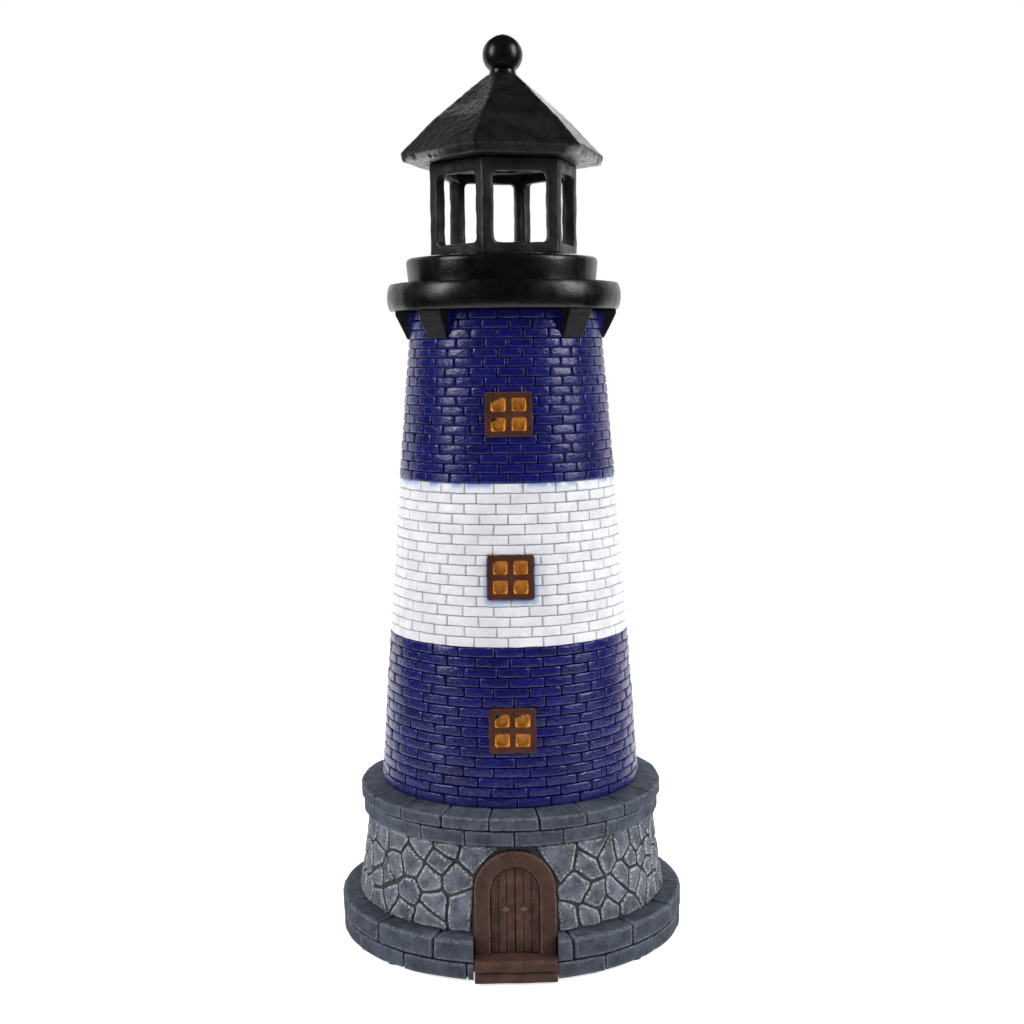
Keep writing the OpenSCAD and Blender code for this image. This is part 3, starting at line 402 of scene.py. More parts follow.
brush_marks, b_in, b_out = group("brush_marks", [("At", "vector", None)],
                                 [("Height", "float"), ("Wear", "float")])
stroke = node(brush_marks, "Mapping", Vector=b_in["At"], Scale=(0.35, 0.35, 3.2))["Vector"]
lines = grain(brush_marks, stroke, 0.8, 4, 0.6, 0.3)
pores = node(brush_marks, "TexVoronoi", Vector=b_in["At"], Scale=0.42)["Distance"]
pinholes = window_of(brush_marks, pores, 0.06, 0.13)
rare = window_of(brush_marks, grain(brush_marks, b_in["At"], 0.23, 1), 0.5, 0.6)
holes = maths(brush_marks, "MAXIMUM", pinholes, maths(brush_marks, "SUBTRACT", 1.0, rare))
wire(brush_marks, maths(brush_marks, "MULTIPLY", lines, holes), b_out["Height"])
wire(brush_marks, grain(brush_marks, b_in["At"], 0.16, 5, 0.7), b_out["Wear"])


def mottled(tree, at, dark, pale, scale):
    """The mottled mix of two screen colours; returns its Colour and its Fine grain."""
    return use(tree, mottle, At=at, Dark=screen(*dark), Pale=screen(*pale), Scale=scale)


# Pale marks on proud edges and in spots: scuff marks on most castings, a painted highlight on the bricks.
def scuffs_and_highlights(tree, at, edge, reach):
    return use(tree, dry_brush_and_highlight, At=at, Edge=edge, Reach=reach)["Mask"]


print("effects:", [g.name for g in bpy.data.node_groups])

# %% [markdown]
# ## Black paint
# The roof, the lantern and the gallery are brushed with black enamel. It pools in corners, shows its
# brush strokes, and leaves pinholes where the resin had bubbles. A near-black base with a fine bump that
# runs along the strokes reads as painted resin, where a flat black would read as plastic.

# %% Mix the black enamel
def black_enamel(name, dark=(7, 7, 8), pale=(17, 17, 19), rough=0.27, patches=0.0):
    material, tree, shader = paint(name)
    at = place(tree)
    marks = use(tree, brush_marks, At=at)
    colour = mottled(tree, at, dark, pale, 0.12)["Colour"]
    colour = blend(tree, scuffs_and_highlights(tree, at, 0.0, 0.22), colour, screen(74, 74, 78))
    if patches:
        # Pale grey in patches where the attribute is set; the roof sets it on the downward faces at its
        # left and right edges.
        in_patches = window_of(tree, grain(tree, at, 0.22, 5, 0.7), 0.42, 0.52)
        pale_underside = maths(tree, "MULTIPLY", attribute(tree, "pale_underside"), in_patches)
        colour = blend(tree, maths(tree, "MULTIPLY", pale_underside, patches), colour, screen(205, 205, 204))
    feed(tree, shader, Base_Color=colour, Specular_IOR_Level=0.34,
         Roughness=window_of(tree, marks["Wear"], 0.3, 0.7, rough - 0.05, rough + 0.1),
         Normal=bump(tree, marks["Height"], 0.35, 0.2))
    return material


black = black_enamel("black_enamel")
roof_black = black_enamel("roof_black", dark=(13, 13, 14), pale=(32, 32, 35), rough=0.42, patches=0.55)
cage_black = black_enamel("cage_black", dark=(17, 17, 18), pale=(38, 38, 41), rough=0.42)

# %% [markdown]
# ## Slate and rubble paint
# The stone castings are painted slate grey and then dry-brushed: an almost dry brush of pale paint is
# dragged over them and catches only the proud edges and grit. The pieces carry an attribute named edge,
# 1 on a stone's rim and 0 elsewhere, and one named joint, 1 in the grooves, where the dark wash stays.

# %% Mix the stone paints
def stone_paint(name, dark, pale, joint, scuff, reach, tone, grit=0.5):
    material, tree, shader = paint(name)
    at = place(tree)
    tones = mottled(tree, at, dark, pale, 0.16)
    shade = window_of(tree, attribute(tree, "tone"), 0.0, 1.0, 1 - tone, 1 + tone)
    colour = node(tree, "VectorMath", {"operation": "SCALE"}, Vector=tones["Colour"], Scale=shade)[0]
    colour = blend(tree, scuffs_and_highlights(tree, at, attribute(tree, "edge"), reach), colour, screen(*scuff))
    colour = blend(tree, window_of(tree, attribute(tree, "joint"), 0.15, 0.85), colour, screen(*joint))
    feed(tree, shader, Base_Color=colour, Roughness=0.78, Specular_IOR_Level=0.1,
         Normal=bump(tree, tones["Fine"], grit, 0.25))
    return material


slate = stone_paint("slate", dark=(60, 65, 76), pale=(84, 90, 103), joint=(24, 27, 31),
                    scuff=(128, 135, 146), reach=0.75, tone=0.07)
rubble = stone_paint("rubble", dark=(66, 72, 84), pale=(114, 120, 132), joint=(38, 42, 47),
                     scuff=(208, 211, 214), reach=0.9, tone=0.12, grit=0.9)

# %% [markdown]
# ## The tower's paint
# The bricks are blue, white and blue again. The colour changes at two courses, a little unevenly, and
# some thin blue has run over the top edge of the white. The glaze is glossy, so the light catches every
# brick's upper edge; paler blue painted in streaks on the rims adds a painted highlight there, with a
# few pale spots of wear.

# %% Paint the bricks
BLUE_H, WHITE_H, TOP_H = 61.1, 62.3, 65.8
BANDS = (TOWER_Z + BLUE_H, TOWER_Z + BLUE_H + WHITE_H)


def white_band(tree, z, soft):
    """A mask that is 1 between the two changes of colour."""
    over = window_of(tree, z, BANDS[0] - soft, BANDS[0] + soft)
    under = window_of(tree, z, BANDS[1] - soft, BANDS[1] + soft, 1.0, 0.0)
    return maths(tree, "MULTIPLY", over, under)


bricks, tree, shader = paint("bricks")
at = place(tree)
wobble = maths(tree, "MULTIPLY_ADD", grain(tree, at, 0.35, 3), 1.1, -0.55)
level = maths(tree, "ADD", along(tree, at, "Z"), wobble)
edge, joint, tone = (attribute(tree, name) for name in ("edge", "joint", "tone"))
blue = mottled(tree, at, (9, 9, 68), (17, 18, 102), 0.09)["Colour"]
blue = blend(tree, window_of(tree, tone, 0, 1), blue, screen(16, 17, 92))
# Paler blue on the brick rims is a painted highlight; the few pale spots beside it are wear.
edge_highlight_and_wear = scuffs_and_highlights(tree, place(tree, (0.55, 0.55, 2.4)), edge, 0.5)
blue = blend(tree, edge_highlight_and_wear, blue, screen(58, 64, 146))
blue = blend(tree, window_of(tree, joint, 0.2, 0.9), blue, screen(4, 4, 26))
white = mottled(tree, at, (219, 221, 226), (238, 239, 242), 0.1)["Colour"]
grey_joint = blend(tree, grain(tree, at, 0.7, 3), screen(216, 217, 221), screen(192, 194, 201))
white = blend(tree, window_of(tree, joint, 0.3, 1.0, 0.0, 0.8), white, grey_joint)
bleed = maths(tree, "MULTIPLY", window_of(tree, level, BANDS[1] - 2.6, BANDS[1]),
              window_of(tree, grain(tree, place(tree, (1, 1, 0.5)), 0.13, 4), 0.42, 0.56))
stain = maths(tree, "MAXIMUM", bleed, attribute(tree, "stain"))
white = blend(tree, maths(tree, "MULTIPLY", stain, 0.9), white, screen(92, 142, 212))
feed(tree, shader, Base_Color=blend(tree, white_band(tree, level, 0.12), blue, white),
     Roughness=patchy(tree, at, 0.5, 0.17, 0.32), Specular_IOR_Level=0.42,
     Normal=bump(tree, grain(tree, place(tree, (0.5, 0.5, 1.2)), 0.9, 4), 0.8, 0.3))
print("paints:", [m.name for m in bpy.data.materials][-6:])

# %% [markdown]
# ## Blocks that are bent round a ring
# A cast stone course is easiest to make straight: one block with soft edges is shaped on the bench,
# copied along a line and then rolled round the axis. The copies start alike, so each is pushed about by
# noise of its own afterwards, and its edges are marked for the dry brush.

# %% Shape, copy and roll a block
JOINT_W = 0.7
UNDER_JOINT, OVER_JOINT = JOINT_W * 0.55, JOINT_W * 0.45


def attributes_of(bm):
    layers = bm.verts.layers.float
    return [layers.get(name) or layers.new(name) for name in ("edge", "joint", "tone")]


def add(bm, part):
    """Puts one mesh into another and frees it."""
    mesh = mesh_of("part", part)
    bm.from_mesh(mesh)
    bpy.data.meshes.remove(mesh)


def copy_of(mesh):
    bm = bmesh.new()
    bm.from_mesh(mesh)
    return bm


def slice_at(bm, point, normal, outer=False):
    """Cuts a mesh along a plane, and with outer takes away what lies beyond it."""
    geom = bm.verts[:] + bm.edges[:] + bm.faces[:]
    return bmesh.ops.bisect_plane(bm, geom=geom, plane_co=point, plane_no=normal, clear_outer=outer,
                                  dist=1e-5)["geom_cut"]


def cut(bm, point, normal, close=True):
    """Cuts off what lies beyond a plane and closes the cut."""
    rim = only(BMEdge, slice_at(bm, point, normal, outer=True))
    if close and rim:
        bmesh.ops.holes_fill(bm, edges=rim, sides=0)


def block_form(length, depth, tall, soft=0.45, loops=5):
    """A straight block: x along the course, y outwards from its face, z up from its bed."""
    form = bmesh.new()
    edge, joint, _ = attributes_of(form)
    bmesh.ops.create_cube(form, size=1)
    bmesh.ops.scale(form, vec=(length, depth, tall), verts=form.verts)
    bmesh.ops.bevel(form, geom=form.edges[:], offset=soft, affect="EDGES", segments=2, profile=0.5,
                    material=-1)
    half = (length / 2, depth / 2, tall / 2)
    inner = soft + 0.75
    for axis in range(3):
        spots = [inner - half[axis], half[axis] - inner]
        if axis == 0:
            spots += [length * (i / loops - 0.5) for i in range(1, loops)]
        for spot in spots:
            point, normal = Vector(), Vector()
            point[axis], normal[axis] = spot, 1
            slice_at(form, point, normal)
    for v in form.verts:
        near = sum(half[i] - abs(v.co[i]) < soft * 1.02 for i in range(3))
        behind = v.co.y < -half[1] * 0.2
        v[edge] = 1.0 if near >= 2 and not behind else 0.0
        v[joint] = 1.0 if behind and v.co.z < half[2] - soft * 1.05 else 0.0
    bmesh.ops.translate(form, vec=(0, -depth / 2, tall / 2), verts=form.verts)
    return form


def course(bm, form, count, turn, radius, z, rng, slope=None, notch=None):
    """Copies a block round a ring. slope(radius) gives a share of the block's height; notch is the
    half width of the gap that is left for the door at the front."""
    mesh = mesh_of("form", form)
    for i in range(count):
        part = copy_of(mesh)
        tone = attributes_of(part)[2]
        shade, centre = rng.random(), turn + tau * (i + 0.5) / count
        lift, twist = rng.uniform(-0.15, 0.12), rng.uniform(-0.006, 0.006)
        for v in part.verts:
            v[tone] = shade
            out = radius + v.co.y + lift + v.co.x * twist
            share = slope(radius + v.co.y) if slope else 1
            angle = centre + v.co.x / radius
            v.co = (out * cos(angle), out * sin(angle), z + v.co.z * share)
        roughen(part.verts, 7, 0.28, i * 3.1 + z)
        roughen(part.verts, 1.9, 0.07, z)
        if notch and sin(centre) < -0.8:
            side = 1 if cos(centre) > 0 else -1
            cut(part, (side * notch, 0, 0), (-side, 0, 0))
        add(bm, part)
    bpy.data.meshes.remove(mesh)


def backing(profile, **sweep):
    """The plain ring behind the blocks, whose face is the bottom of their joints."""
    core = bmesh.new()
    joint = attributes_of(core)[1]
    lathe(core, profile, **sweep)
    for v in core.verts:
        v[joint] = 1.0
    return core

# %% [markdown]
# ## The plinth
# The foot of the ornament is a ring of two courses, sixteen slate blocks in each, with a notch at the
# front for the door step. Behind the blocks stands a plain ring, whose face is the bottom of the joints.

# %% Build the plinth
rng = random.Random(11)
PLINTH_BLOCKS = 16
PLINTH_BLOCK_L = tau * PLINTH_R / PLINTH_BLOCKS - JOINT_W
COURSE_Z = PLINTH_Z + 6.4
NOTCH = 16.0
SEAL_Z = high["base_gasket"].z
SOCKET_R = high["base_gasket"].x + 0.3
UNDER_R = max(SOCKET_R + 0.2, PLINTH_R - 8.3)
BORE_R = 57.2
plinth = bmesh.new()
attributes_of(plinth)
low_form = block_form(PLINTH_BLOCK_L, 8, COURSE_Z - PLINTH_Z - UNDER_JOINT)
course(plinth, low_form, PLINTH_BLOCKS, radians(7), PLINTH_R - 0.35, PLINTH_Z, rng, notch=NOTCH)
top_form = block_form(PLINTH_BLOCK_L, 9, DRUM_Z - COURSE_Z - OVER_JOINT, soft=0.9)
course(plinth, top_form, PLINTH_BLOCKS, radians(18.25), PLINTH_R, COURSE_Z + OVER_JOINT, rng,
       slope=lambda r: 1 - 0.045 * max(0.0, r - DRUM_R[0]) / 7.8, notch=NOTCH)
gap = asin(NOTCH / 64)
add(plinth, backing(
    [(SOCKET_R, PLINTH_Z), (UNDER_R, PLINTH_Z), (UNDER_R + 0.4, PLINTH_Z + 0.9),
     (PLINTH_R - 1.6, PLINTH_Z + 0.9), (PLINTH_R - 0.9, COURSE_Z), (PLINTH_R - 1.2, DRUM_Z - 2),
     (PLINTH_R - 2.4, DRUM_Z - 1.2), (60, DRUM_Z - 0.8), (60, DRUM_Z),
     (BORE_R, DRUM_Z), (BORE_R, SEAL_Z), (SOCKET_R, SEAL_Z)],
    start=-pi / 2 + gap, angle=tau - 2 * gap, steps=120))
piece("plinth_blocks", plinth, slate, "slate", "base_plinth", flat=40)

# %% [markdown]
# ## The coping
# A second pair of courses, twenty blocks in each, carries the tower. The upper blocks fall outwards to
# shed rain, so their height is a function of the radius.

# %% Build the coping
COPING_BLOCKS = 20
COPING_BLOCK_L = tau * COPING_R / COPING_BLOCKS - JOINT_W
COPING_COURSE_Z = COPING_Z + 6
COPING_BORE_R = 47.3
coping = bmesh.new()
attributes_of(coping)
low_form = block_form(COPING_BLOCK_L, 6, 6 - UNDER_JOINT, loops=4)
course(coping, low_form, COPING_BLOCKS, 0.0, COPING_R - 0.85, COPING_Z + 0.02, rng)
top_form = block_form(COPING_BLOCK_L, 10.6, TOWER_Z - COPING_COURSE_Z - OVER_JOINT, soft=0.55, loops=4)
course(coping, top_form, COPING_BLOCKS, radians(9), COPING_R, COPING_COURSE_Z + OVER_JOINT, rng,
       slope=lambda r: 1 - 0.27 * max(0.0, r - TOWER_R[0]) / 9.2)
add(coping, backing(
    [(COPING_BORE_R, COPING_Z + 1), (50, COPING_Z), (COPING_R - 2, COPING_Z + 0.1),
     (COPING_R - 1.8, COPING_COURSE_Z), (COPING_R - 1.2, COPING_COURSE_Z + 0.4),
     (COPING_R - 1.3, TOWER_Z - 3), (53, TOWER_Z - 0.9), (51.5, TOWER_Z), (COPING_BORE_R, TOWER_Z)]))
piece("coping_blocks", coping, slate, "slate", "coping_ring", flat=40)

# %% [markdown]
# ## Rubble stones
# The drum is faced with flat stones of many shapes. Round each of many scattered points the stone is the
# area nearer to it than to any other point, so every stone starts as a square that is cut off halfway to
# each neighbour. It is done on the unrolled wall, where a cut is a straight line, and the finished stone
# is then laid on the drum.

# %% Scatter the stones
rng = random.Random(23)
STONES = 128
MEAN_R = 60.2
WALL_L = tau * MEAN_R
WALL_H = COPING_Z - DRUM_Z
ARCH_R = 16.4                      # half width of the door surround, with its joint
ARCH_Z = high["door_surround"].z - DRUM_Z + 0.4 - ARCH_R
DOOR_ROOM = 3.2                    # from the door's outline to the nearest stone's middle


def round_door(u, v):
    """The nearest point on the door's outline, and how far outside it a point lies."""
    centre = Vector((0, min(v, ARCH_Z), 0))
    away = Vector((u, v, 0)) - centre
    return centre + away.normalized() * ARCH_R, away.length - ARCH_R


def apart(a, b):
    du = (a[0] - b[0] + WALL_L / 2) % WALL_L - WALL_L / 2
    return Vector((du, a[1] - b[1], 0))


stones = []
while len(stones) < STONES:
    tries = [(rng.uniform(-WALL_L / 2, WALL_L / 2), rng.uniform(2.2, WALL_H - 2.2)) for _ in range(14)]
    tries = [t for t in tries if round_door(*t)[1] > DOOR_ROOM] or tries[:1]
    spot = max(tries, key=lambda t: min([apart(t, s).length for s in stones] or [99]))
    if round_door(*spot)[1] > DOOR_ROOM:
        stones.append(spot)
print(len(stones), "stones on a wall of", round(WALL_L), "by", round(WALL_H), "mm")

# %% Cut, round and lay each stone
def dome(bm, foot, rims, even):
    """Makes a flat face a block: a foot below it and a rim of faces for each (inset, rise, edge)."""
    edge, joint, _ = attributes_of(bm)
    up = bmesh.ops.extrude_face_region(bm, geom=bm.faces[:])["geom"]
    top = only(BMFace, up)
    bmesh.ops.translate(bm, vec=(0, 0, -foot), verts=[v for v in bm.verts if v not in up])
    for v in bm.verts:
        v[joint] = 1.0
    for inset, rise, at_edge in rims:
        bmesh.ops.inset_region(bm, faces=top, thickness=inset, depth=rise, use_even_offset=even)
        for v in {v for f in top for v in f.verts}:
            v[joint] = 0.0
            v[edge] = at_edge
    return top


rubble_bm = bmesh.new()
attributes_of(rubble_bm)
for i, (u, v0) in enumerate(stones):
    middle = Vector((u, v0, 0))
    stone = bmesh.new()
    edge, _, tone = attributes_of(stone)
    bmesh.ops.create_grid(stone, x_segments=1, y_segments=1, size=13, matrix=Matrix.Translation(middle))
    groove = rng.uniform(0.28, 0.46)
    for other in stones:
        toward = apart(other, (u, v0))
        if 0 < toward.length < 30:
            d = toward.normalized()
            cut(stone, middle + toward / 2 - d * groove, d, close=False)
    cut(stone, (0, 0.5, 0), (0, -1, 0), close=False)
    cut(stone, (0, WALL_H - 0.7, 0), (0, 1, 0), close=False)
    if abs(u) < 40:
        rim = round_door(u, v0)[0]
        cut(stone, rim, rim - middle, close=False)
    bmesh.ops.remove_doubles(stone, verts=stone.verts, dist=1.9)
    bmesh.ops.bevel(stone, geom=stone.verts[:], offset=0.75, affect="VERTICES", segments=2, profile=0.5,
                    material=-1)
    bmesh.ops.subdivide_edges(stone, edges=[e for e in stone.edges if e.calc_length() > 2.6], cuts=2)
    top = dome(stone, 0.6, ((0.3, 0.6, 1.0), (0.45, 0.26, 1.0), (0.7, 0.08, 0.15)), even=False)
    for v in bmesh.ops.poke(stone, faces=top)["verts"]:
        v[edge] = 0.0
        v.co.z += rng.uniform(-0.1, 0.2)
    shade, tip, tilt = rng.random(), rng.uniform(-0.02, 0.02), rng.uniform(-0.02, 0.02)
    for v in stone.verts:
        v[tone] = shade
        if v.co.z > 0.1:
            v.co.z += (v.co.x - u) * tip + (v.co.y - v0) * tilt
    roughen(stone.verts, 5, 0.7, 3.0, across=Vector((1, 1, 0.3)))
    roughen([v for v in stone.verts if v.co.z > 0.1], 1.6, 0.2, i)
    for v in stone.verts:
        z = min(max(DRUM_Z + v.co.y, DRUM_Z + 0.1), COPING_Z - 0.05)
        angle, out = v.co.x / MEAN_R - pi / 2, drum_radius(z) + v.co.z - 0.1
        v.co = (out * cos(angle), out * sin(angle), z)
    add(rubble_bm, stone)
piece("rubble_stones", rubble_bm, rubble, "rubble", flat=60)

# %% [markdown]
# ## Bricks
# The wall's courses are cut in the model, so it serves as the bed, painted like the joints. The bricks
# are laid on it: one brick is shaped with a soft rim, then copied twenty-four times to a course. Every
# joint wanders a little and every brick tips a little, and that is what makes the gloss break up.

# %% Shape one brick
BRICKS = 24
BRICK_L, BRICK_H = 12.0, 3.8
COURSES = [TOWER_Z + BLUE_H * i / 16 for i in range(16)]
COURSES += [BANDS[0] + WHITE_H * i / 16 for i in range(16)]
COURSES += [BANDS[1] + TOP_H * i / 18 for i in range(19)]
brick = bmesh.new()
attributes_of(brick)
bmesh.ops.create_grid(brick, x_segments=5, y_segments=1, size=0.5)
bmesh.ops.scale(brick, vec=(BRICK_L - 0.5, BRICK_H - 0.3, 1), verts=brick.verts)
dome(brick, 0.5, ((0.12, 0.36, 1.0), (0.22, 0.16, 1.0), (0.4, 0.04, 0.0)), even=True)
brick_mesh = mesh_of("brick", brick)
print("a brick has", len(brick_mesh.polygons), "faces")

# %% Lay the bricks
rng = random.Random(5)
WINDOWS = {}
for name in ("lower", "middle", "upper"):
    frame_node = f"window_frame_{name}"
    WINDOWS[name] = (low[frame_node].z + high[frame_node].z) / 2
WINDOW_W, WINDOW_H = 18, 17.1
PAD_W = high["solar_bezel"].x + 0.4
PAD_Z = (low["solar_bezel"].z - 0.4, high["solar_bezel"].z + 0.4)


def fitted(value, length, form):
    """Stretches the middle of the brick's form and leaves its rims as they are."""
    rim = 1.0
    inner = form / 2 - rim
    if abs(value) <= inner:
        return value * (length / 2 - rim) / inner
    return value + (length - form) / 2 * (1 if value > 0 else -1)


def trim_at_window(part, centre):
    """Cuts a brick that would run into a window: what is left beside it and what is above or below."""
    x, z = centre
    w, h = WINDOW_W / 2 - 0.3, WINDOW_H / 2 - 0.3
    for zw in WINDOWS.values():
        if any(abs(v.co.x) < w and abs(v.co.z - zw) < h for v in part.verts):
            side, level = (1 if x > 0 else -1), (1 if z > zw else -1)
            strip = part.copy()
            cut(part, (side * w, 0, 0), (-side, 0, 0))
            cut(strip, (side * w, 0, 0), (side, 0, 0))
            cut(strip, (0, 0, zw + level * h), (0, 0, -level))
            return [p for p in (part, strip) if len(p.faces) > 5]
    return [part]


def lay(middle, length, z0, z1):
    """One brick at an angle round the tower, between two heights."""
    part = copy_of(brick_mesh)
    _, joint, tone = attributes_of(part)
    shade, lift = rng.random(), rng.uniform(-0.08, 0.1)
    tip, tilt = rng.uniform(-0.016, 0.016), rng.uniform(-0.06, 0.06)
    for v in part.verts:
        v[tone] = shade
        x, y = fitted(v.co.x, length, BRICK_L), fitted(v.co.y, z1 - z0, BRICK_H)
        z = (z0 + z1) / 2 + y
        out = tower_radius(z) + v.co.z - 0.08
        if v.co.z > 0.1:
            out += lift + x * tip + y * tilt
        angle = middle + x / tower_radius((z0 + z1) / 2)
        v.co = (out * cos(angle), out * sin(angle), z)
    roughen(part.verts, 3.4, 0.2, 2.0)
    roughen([v for v in part.verts if v[joint] < 0.5], 1.1, 0.07, 5.0)
    return part


brick_bm = bmesh.new()
attributes_of(brick_bm)
brick_bm.verts.layers.float.new("stain")
step = tau / BRICKS
for row, (z0, z1) in enumerate(zip(COURSES, COURSES[1:])):
    level, radius = (z0 + z1) / 2, tower_radius((z0 + z1) / 2)
    shift = step * (row % 2 / 2 + rng.uniform(-0.1, 0.1))
    joints = [shift + step * (i + rng.uniform(-0.09, 0.09)) for i in range(BRICKS)]
    joints.append(joints[0] + tau)
    for a0, a1 in zip(joints, joints[1:]):
        middle, length = (a0 + a1) / 2, (a1 - a0) * radius
        x = radius * cos(middle)
        if sin(middle) > 0 and abs(x) < PAD_W - length / 2 and PAD_Z[0] < level < PAD_Z[1]:
            continue
        part = lay(middle, length, z0, z1)
        for kept in trim_at_window(part, (x, level)) if sin(middle) < 0 else [part]:
            add(brick_bm, kept)
stain = brick_bm.verts.layers.float["stain"]
for v in brick_bm.verts:
    if v.co.y < 0:
        aside = (abs(v.co.x) - 9) * (1 if v.co.x > 0 else 2.2)
        reach = max(aside, abs(v.co.z - WINDOWS["middle"] + 1.5) - 8, 0)
        v[stain] = max(0.0, 1 - reach / 1.3)
piece("brick_faces", brick_bm, bricks, "bricks", flat=50, merge=0)

# %% [markdown]
# ## Brown paint and amber lights
# The door, its surround, the step and the window frames share one matt brown with dark specks. The
# lights in the frames are painted amber, with a painted highlight of brighter orange on the rim of each
# recess and a duller middle, and some of the dark wall paint slipped over their upper corners.

# %% Mix the brown and the amber
def brown_paint(name, dark, pale, fibres=0.0, rough=0.6):
    material, tree, shader = paint(name)
    at = place(tree)
    tones = mottled(tree, at, dark, pale, 0.2)
    dust = window_of(tree, grain(tree, at, 1.3, 2), 0.66, 0.76)
    colour = blend(tree, maths(tree, "MULTIPLY", dust, 0.35), tones["Colour"], screen(38, 26, 24))
    height = tones["Fine"]
    if fibres:
        lines = grain(tree, place(tree, (3.4, 3.4, 0.16)), 1.0, 4, 0.65, 0.4)
        colour = blend(tree, window_of(tree, lines, 0.5, 0.68, 0.0, fibres), colour, screen(41, 26, 22))
        height = maths(tree, "ADD", lines, maths(tree, "MULTIPLY", tones["Fine"], 0.2))
    colour = blend(tree, scuffs_and_highlights(tree, at, attribute(tree, "edge"), 0.4), colour, screen(150, 118, 102))
    feed(tree, shader, Base_Color=colour, Roughness=rough, Specular_IOR_Level=0.18,
         Normal=bump(tree, height, 0.5, 0.3 if fibres else 0.15))
    return material


wood = brown_paint("brown_paint", (62, 43, 38), (80, 57, 50))
frame_brown = brown_paint("frame_brown", (62, 34, 25), (80, 45, 33), rough=0.5)
planks = brown_paint("planks", (66, 46, 40), (94, 68, 59), fibres=0.85)

amber, tree, shader = paint("amber")
at = place(tree)
tones = mottled(tree, at, (196, 120, 26), (250, 172, 44), 0.45)
# Brighter orange on the rim of each dish is a painted highlight.
rim = window_of(tree, attribute(tree, "edge"), 0.35, 0.9)
colour = blend(tree, rim, tones["Colour"], screen(255, 166, 40))
ragged = maths(tree, "MULTIPLY_ADD", grain(tree, at, 0.9, 3), 0.9, -0.45)
spill = window_of(tree, maths(tree, "ADD", attribute(tree, "slop"), ragged), 0.5, 0.62)
feed(tree, shader, Base_Color=blend(tree, spill, colour, screen(20, 18, 34)),
     Roughness=window_of(tree, tones["Fine"], 0.3, 0.7, 0.3, 0.5),
     Normal=bump(tree, tones["Fine"], 0.4, 0.2))

# %% [markdown]
# ## Windows
# Each window is a flat plate with four square lights. A grid of five by five cells with uneven columns
# already has every edge of it: four cells are taken out, the rest is raised to the plate's thickness, and
# bevels round first the corners and then the front rims. The lights are shallow dishes behind it.

# %% Build a window in the flat
LEAN = atan((TOWER_R[0] - TOWER_R[1]) / (DECK_Z - TOWER_Z))
FRAME_W, FRAME_H = 9, 8.55         # half sizes: the frame, its lights' outer edges and its bars
LIGHT_W, LIGHT_H = 6.65, 6.2
BAR = 1.2
BARS_X = (-FRAME_W, -LIGHT_W, -BAR, BAR, LIGHT_W, FRAME_W)
BARS_Y = (-FRAME_H, -LIGHT_H, -BAR, BAR, LIGHT_H, FRAME_H)
FRAME_BACK, FRAME_FACE = -2.2, 1.2


def against_wall(radius, z, lean):
    """The front of the wall: x along it, y up it and z out of it."""
    return Matrix.Translation((0, -radius, z)) @ Matrix.Rotation(pi / 2 - lean, 4, "X")


def flat_grid(xs, ys, z):
    bm = bmesh.new()
    bmesh.ops.create_grid(bm, x_segments=len(xs) - 1, y_segments=len(ys) - 1, size=0.5)
    for v in bm.verts:
        v.co = (xs[round((v.co.x + 0.5) * (len(xs) - 1))], ys[round((v.co.y + 0.5) * (len(ys) - 1))], z)
    return bm


def raise_all(bm, by):
    """Gives a flat mesh a thickness; returns the raised vertices."""
    raised = only(BMVert, bmesh.ops.extrude_face_region(bm, geom=bm.faces[:])["geom"])
    bmesh.ops.translate(bm, vec=(0, 0, by), verts=raised)
    return raised


def soften(bm, edges, offset, segments=3):
    bmesh.ops.bevel(bm, geom=edges, offset=offset, affect="EDGES", segments=segments, profile=0.5,
                    material=-1)


def sharp(e, limit=1.0):
    return len(e.link_faces) == 2 and e.calc_face_angle(0) > limit


def upright(e):
    return abs((e.verts[0].co - e.verts[1].co).normalized().z) > 0.9 and sharp(e)


def window_frame(seed):
    bm = flat_grid(BARS_X, BARS_Y, FRAME_BACK)
    edge = attributes_of(bm)[0]
    middles = [(f, f.calc_center_median()) for f in bm.faces]
    lights = [f for f, m in middles if BAR < abs(m.x) < LIGHT_W and BAR < abs(m.y) < LIGHT_H]
    bmesh.ops.delete(bm, geom=lights, context="FACES")
    raise_all(bm, FRAME_FACE - FRAME_BACK)
    soften(bm, [e for e in bm.edges if upright(e) and abs(e.verts[0].co.x) <= 8.9], 0.7)
    soften(bm, [e for e in bm.edges if upright(e) and abs(e.verts[0].co.x) > 8.9 and sharp(e, 1.4)], 1.3, 4)
    front = [e for e in bm.edges if sharp(e) and min(v.co.z for v in e.verts) > FRAME_FACE - 0.01]
    soften(bm, front, 0.4, 2)
    for v in bm.verts:
        v[edge] = 1.0 if FRAME_FACE - 0.35 < v.co.z < FRAME_FACE - 0.02 else 0.0
    roughen(bm.verts, 4, 0.22, seed, across=Vector((1, 1, 0.4)))
    return bm


def window_light(x, y, wide, tall, seed, spilt):
    """One amber dish with its rim against the frame; spilt is how much wall paint lies in its corner."""
    rows = [-1, -0.9, -0.74, -0.5, -0.2, 0.2, 0.5, 0.74, 0.9, 1]
    bm = flat_grid([r * wide / 2 for r in rows], [r * tall / 2 for r in rows], -3.1)
    edge = attributes_of(bm)[0]
    slop = bm.verts.layers.float.new("slop")
    raised = raise_all(bm, 1)
    for v in raised:
        a, b = v.co.x / wide * 2, v.co.y / tall * 2
        t = max(abs(a), abs(b), sqrt(a * a + b * b) * 0.83)
        rise = clamp((t - 0.55) / 0.4)
        v.co.z = -1.5 + 1.6 * rise * rise
        # The rim's rise is marked, and the amber paints a highlight on it.
        v[edge] = rise
        v[slop] = clamp((b - a * 0.45) * 0.62 + spilt)
    bmesh.ops.translate(bm, vec=(x, y, 0), verts=bm.verts)
    roughen(raised, 2.2, 0.22, seed)
    return bm

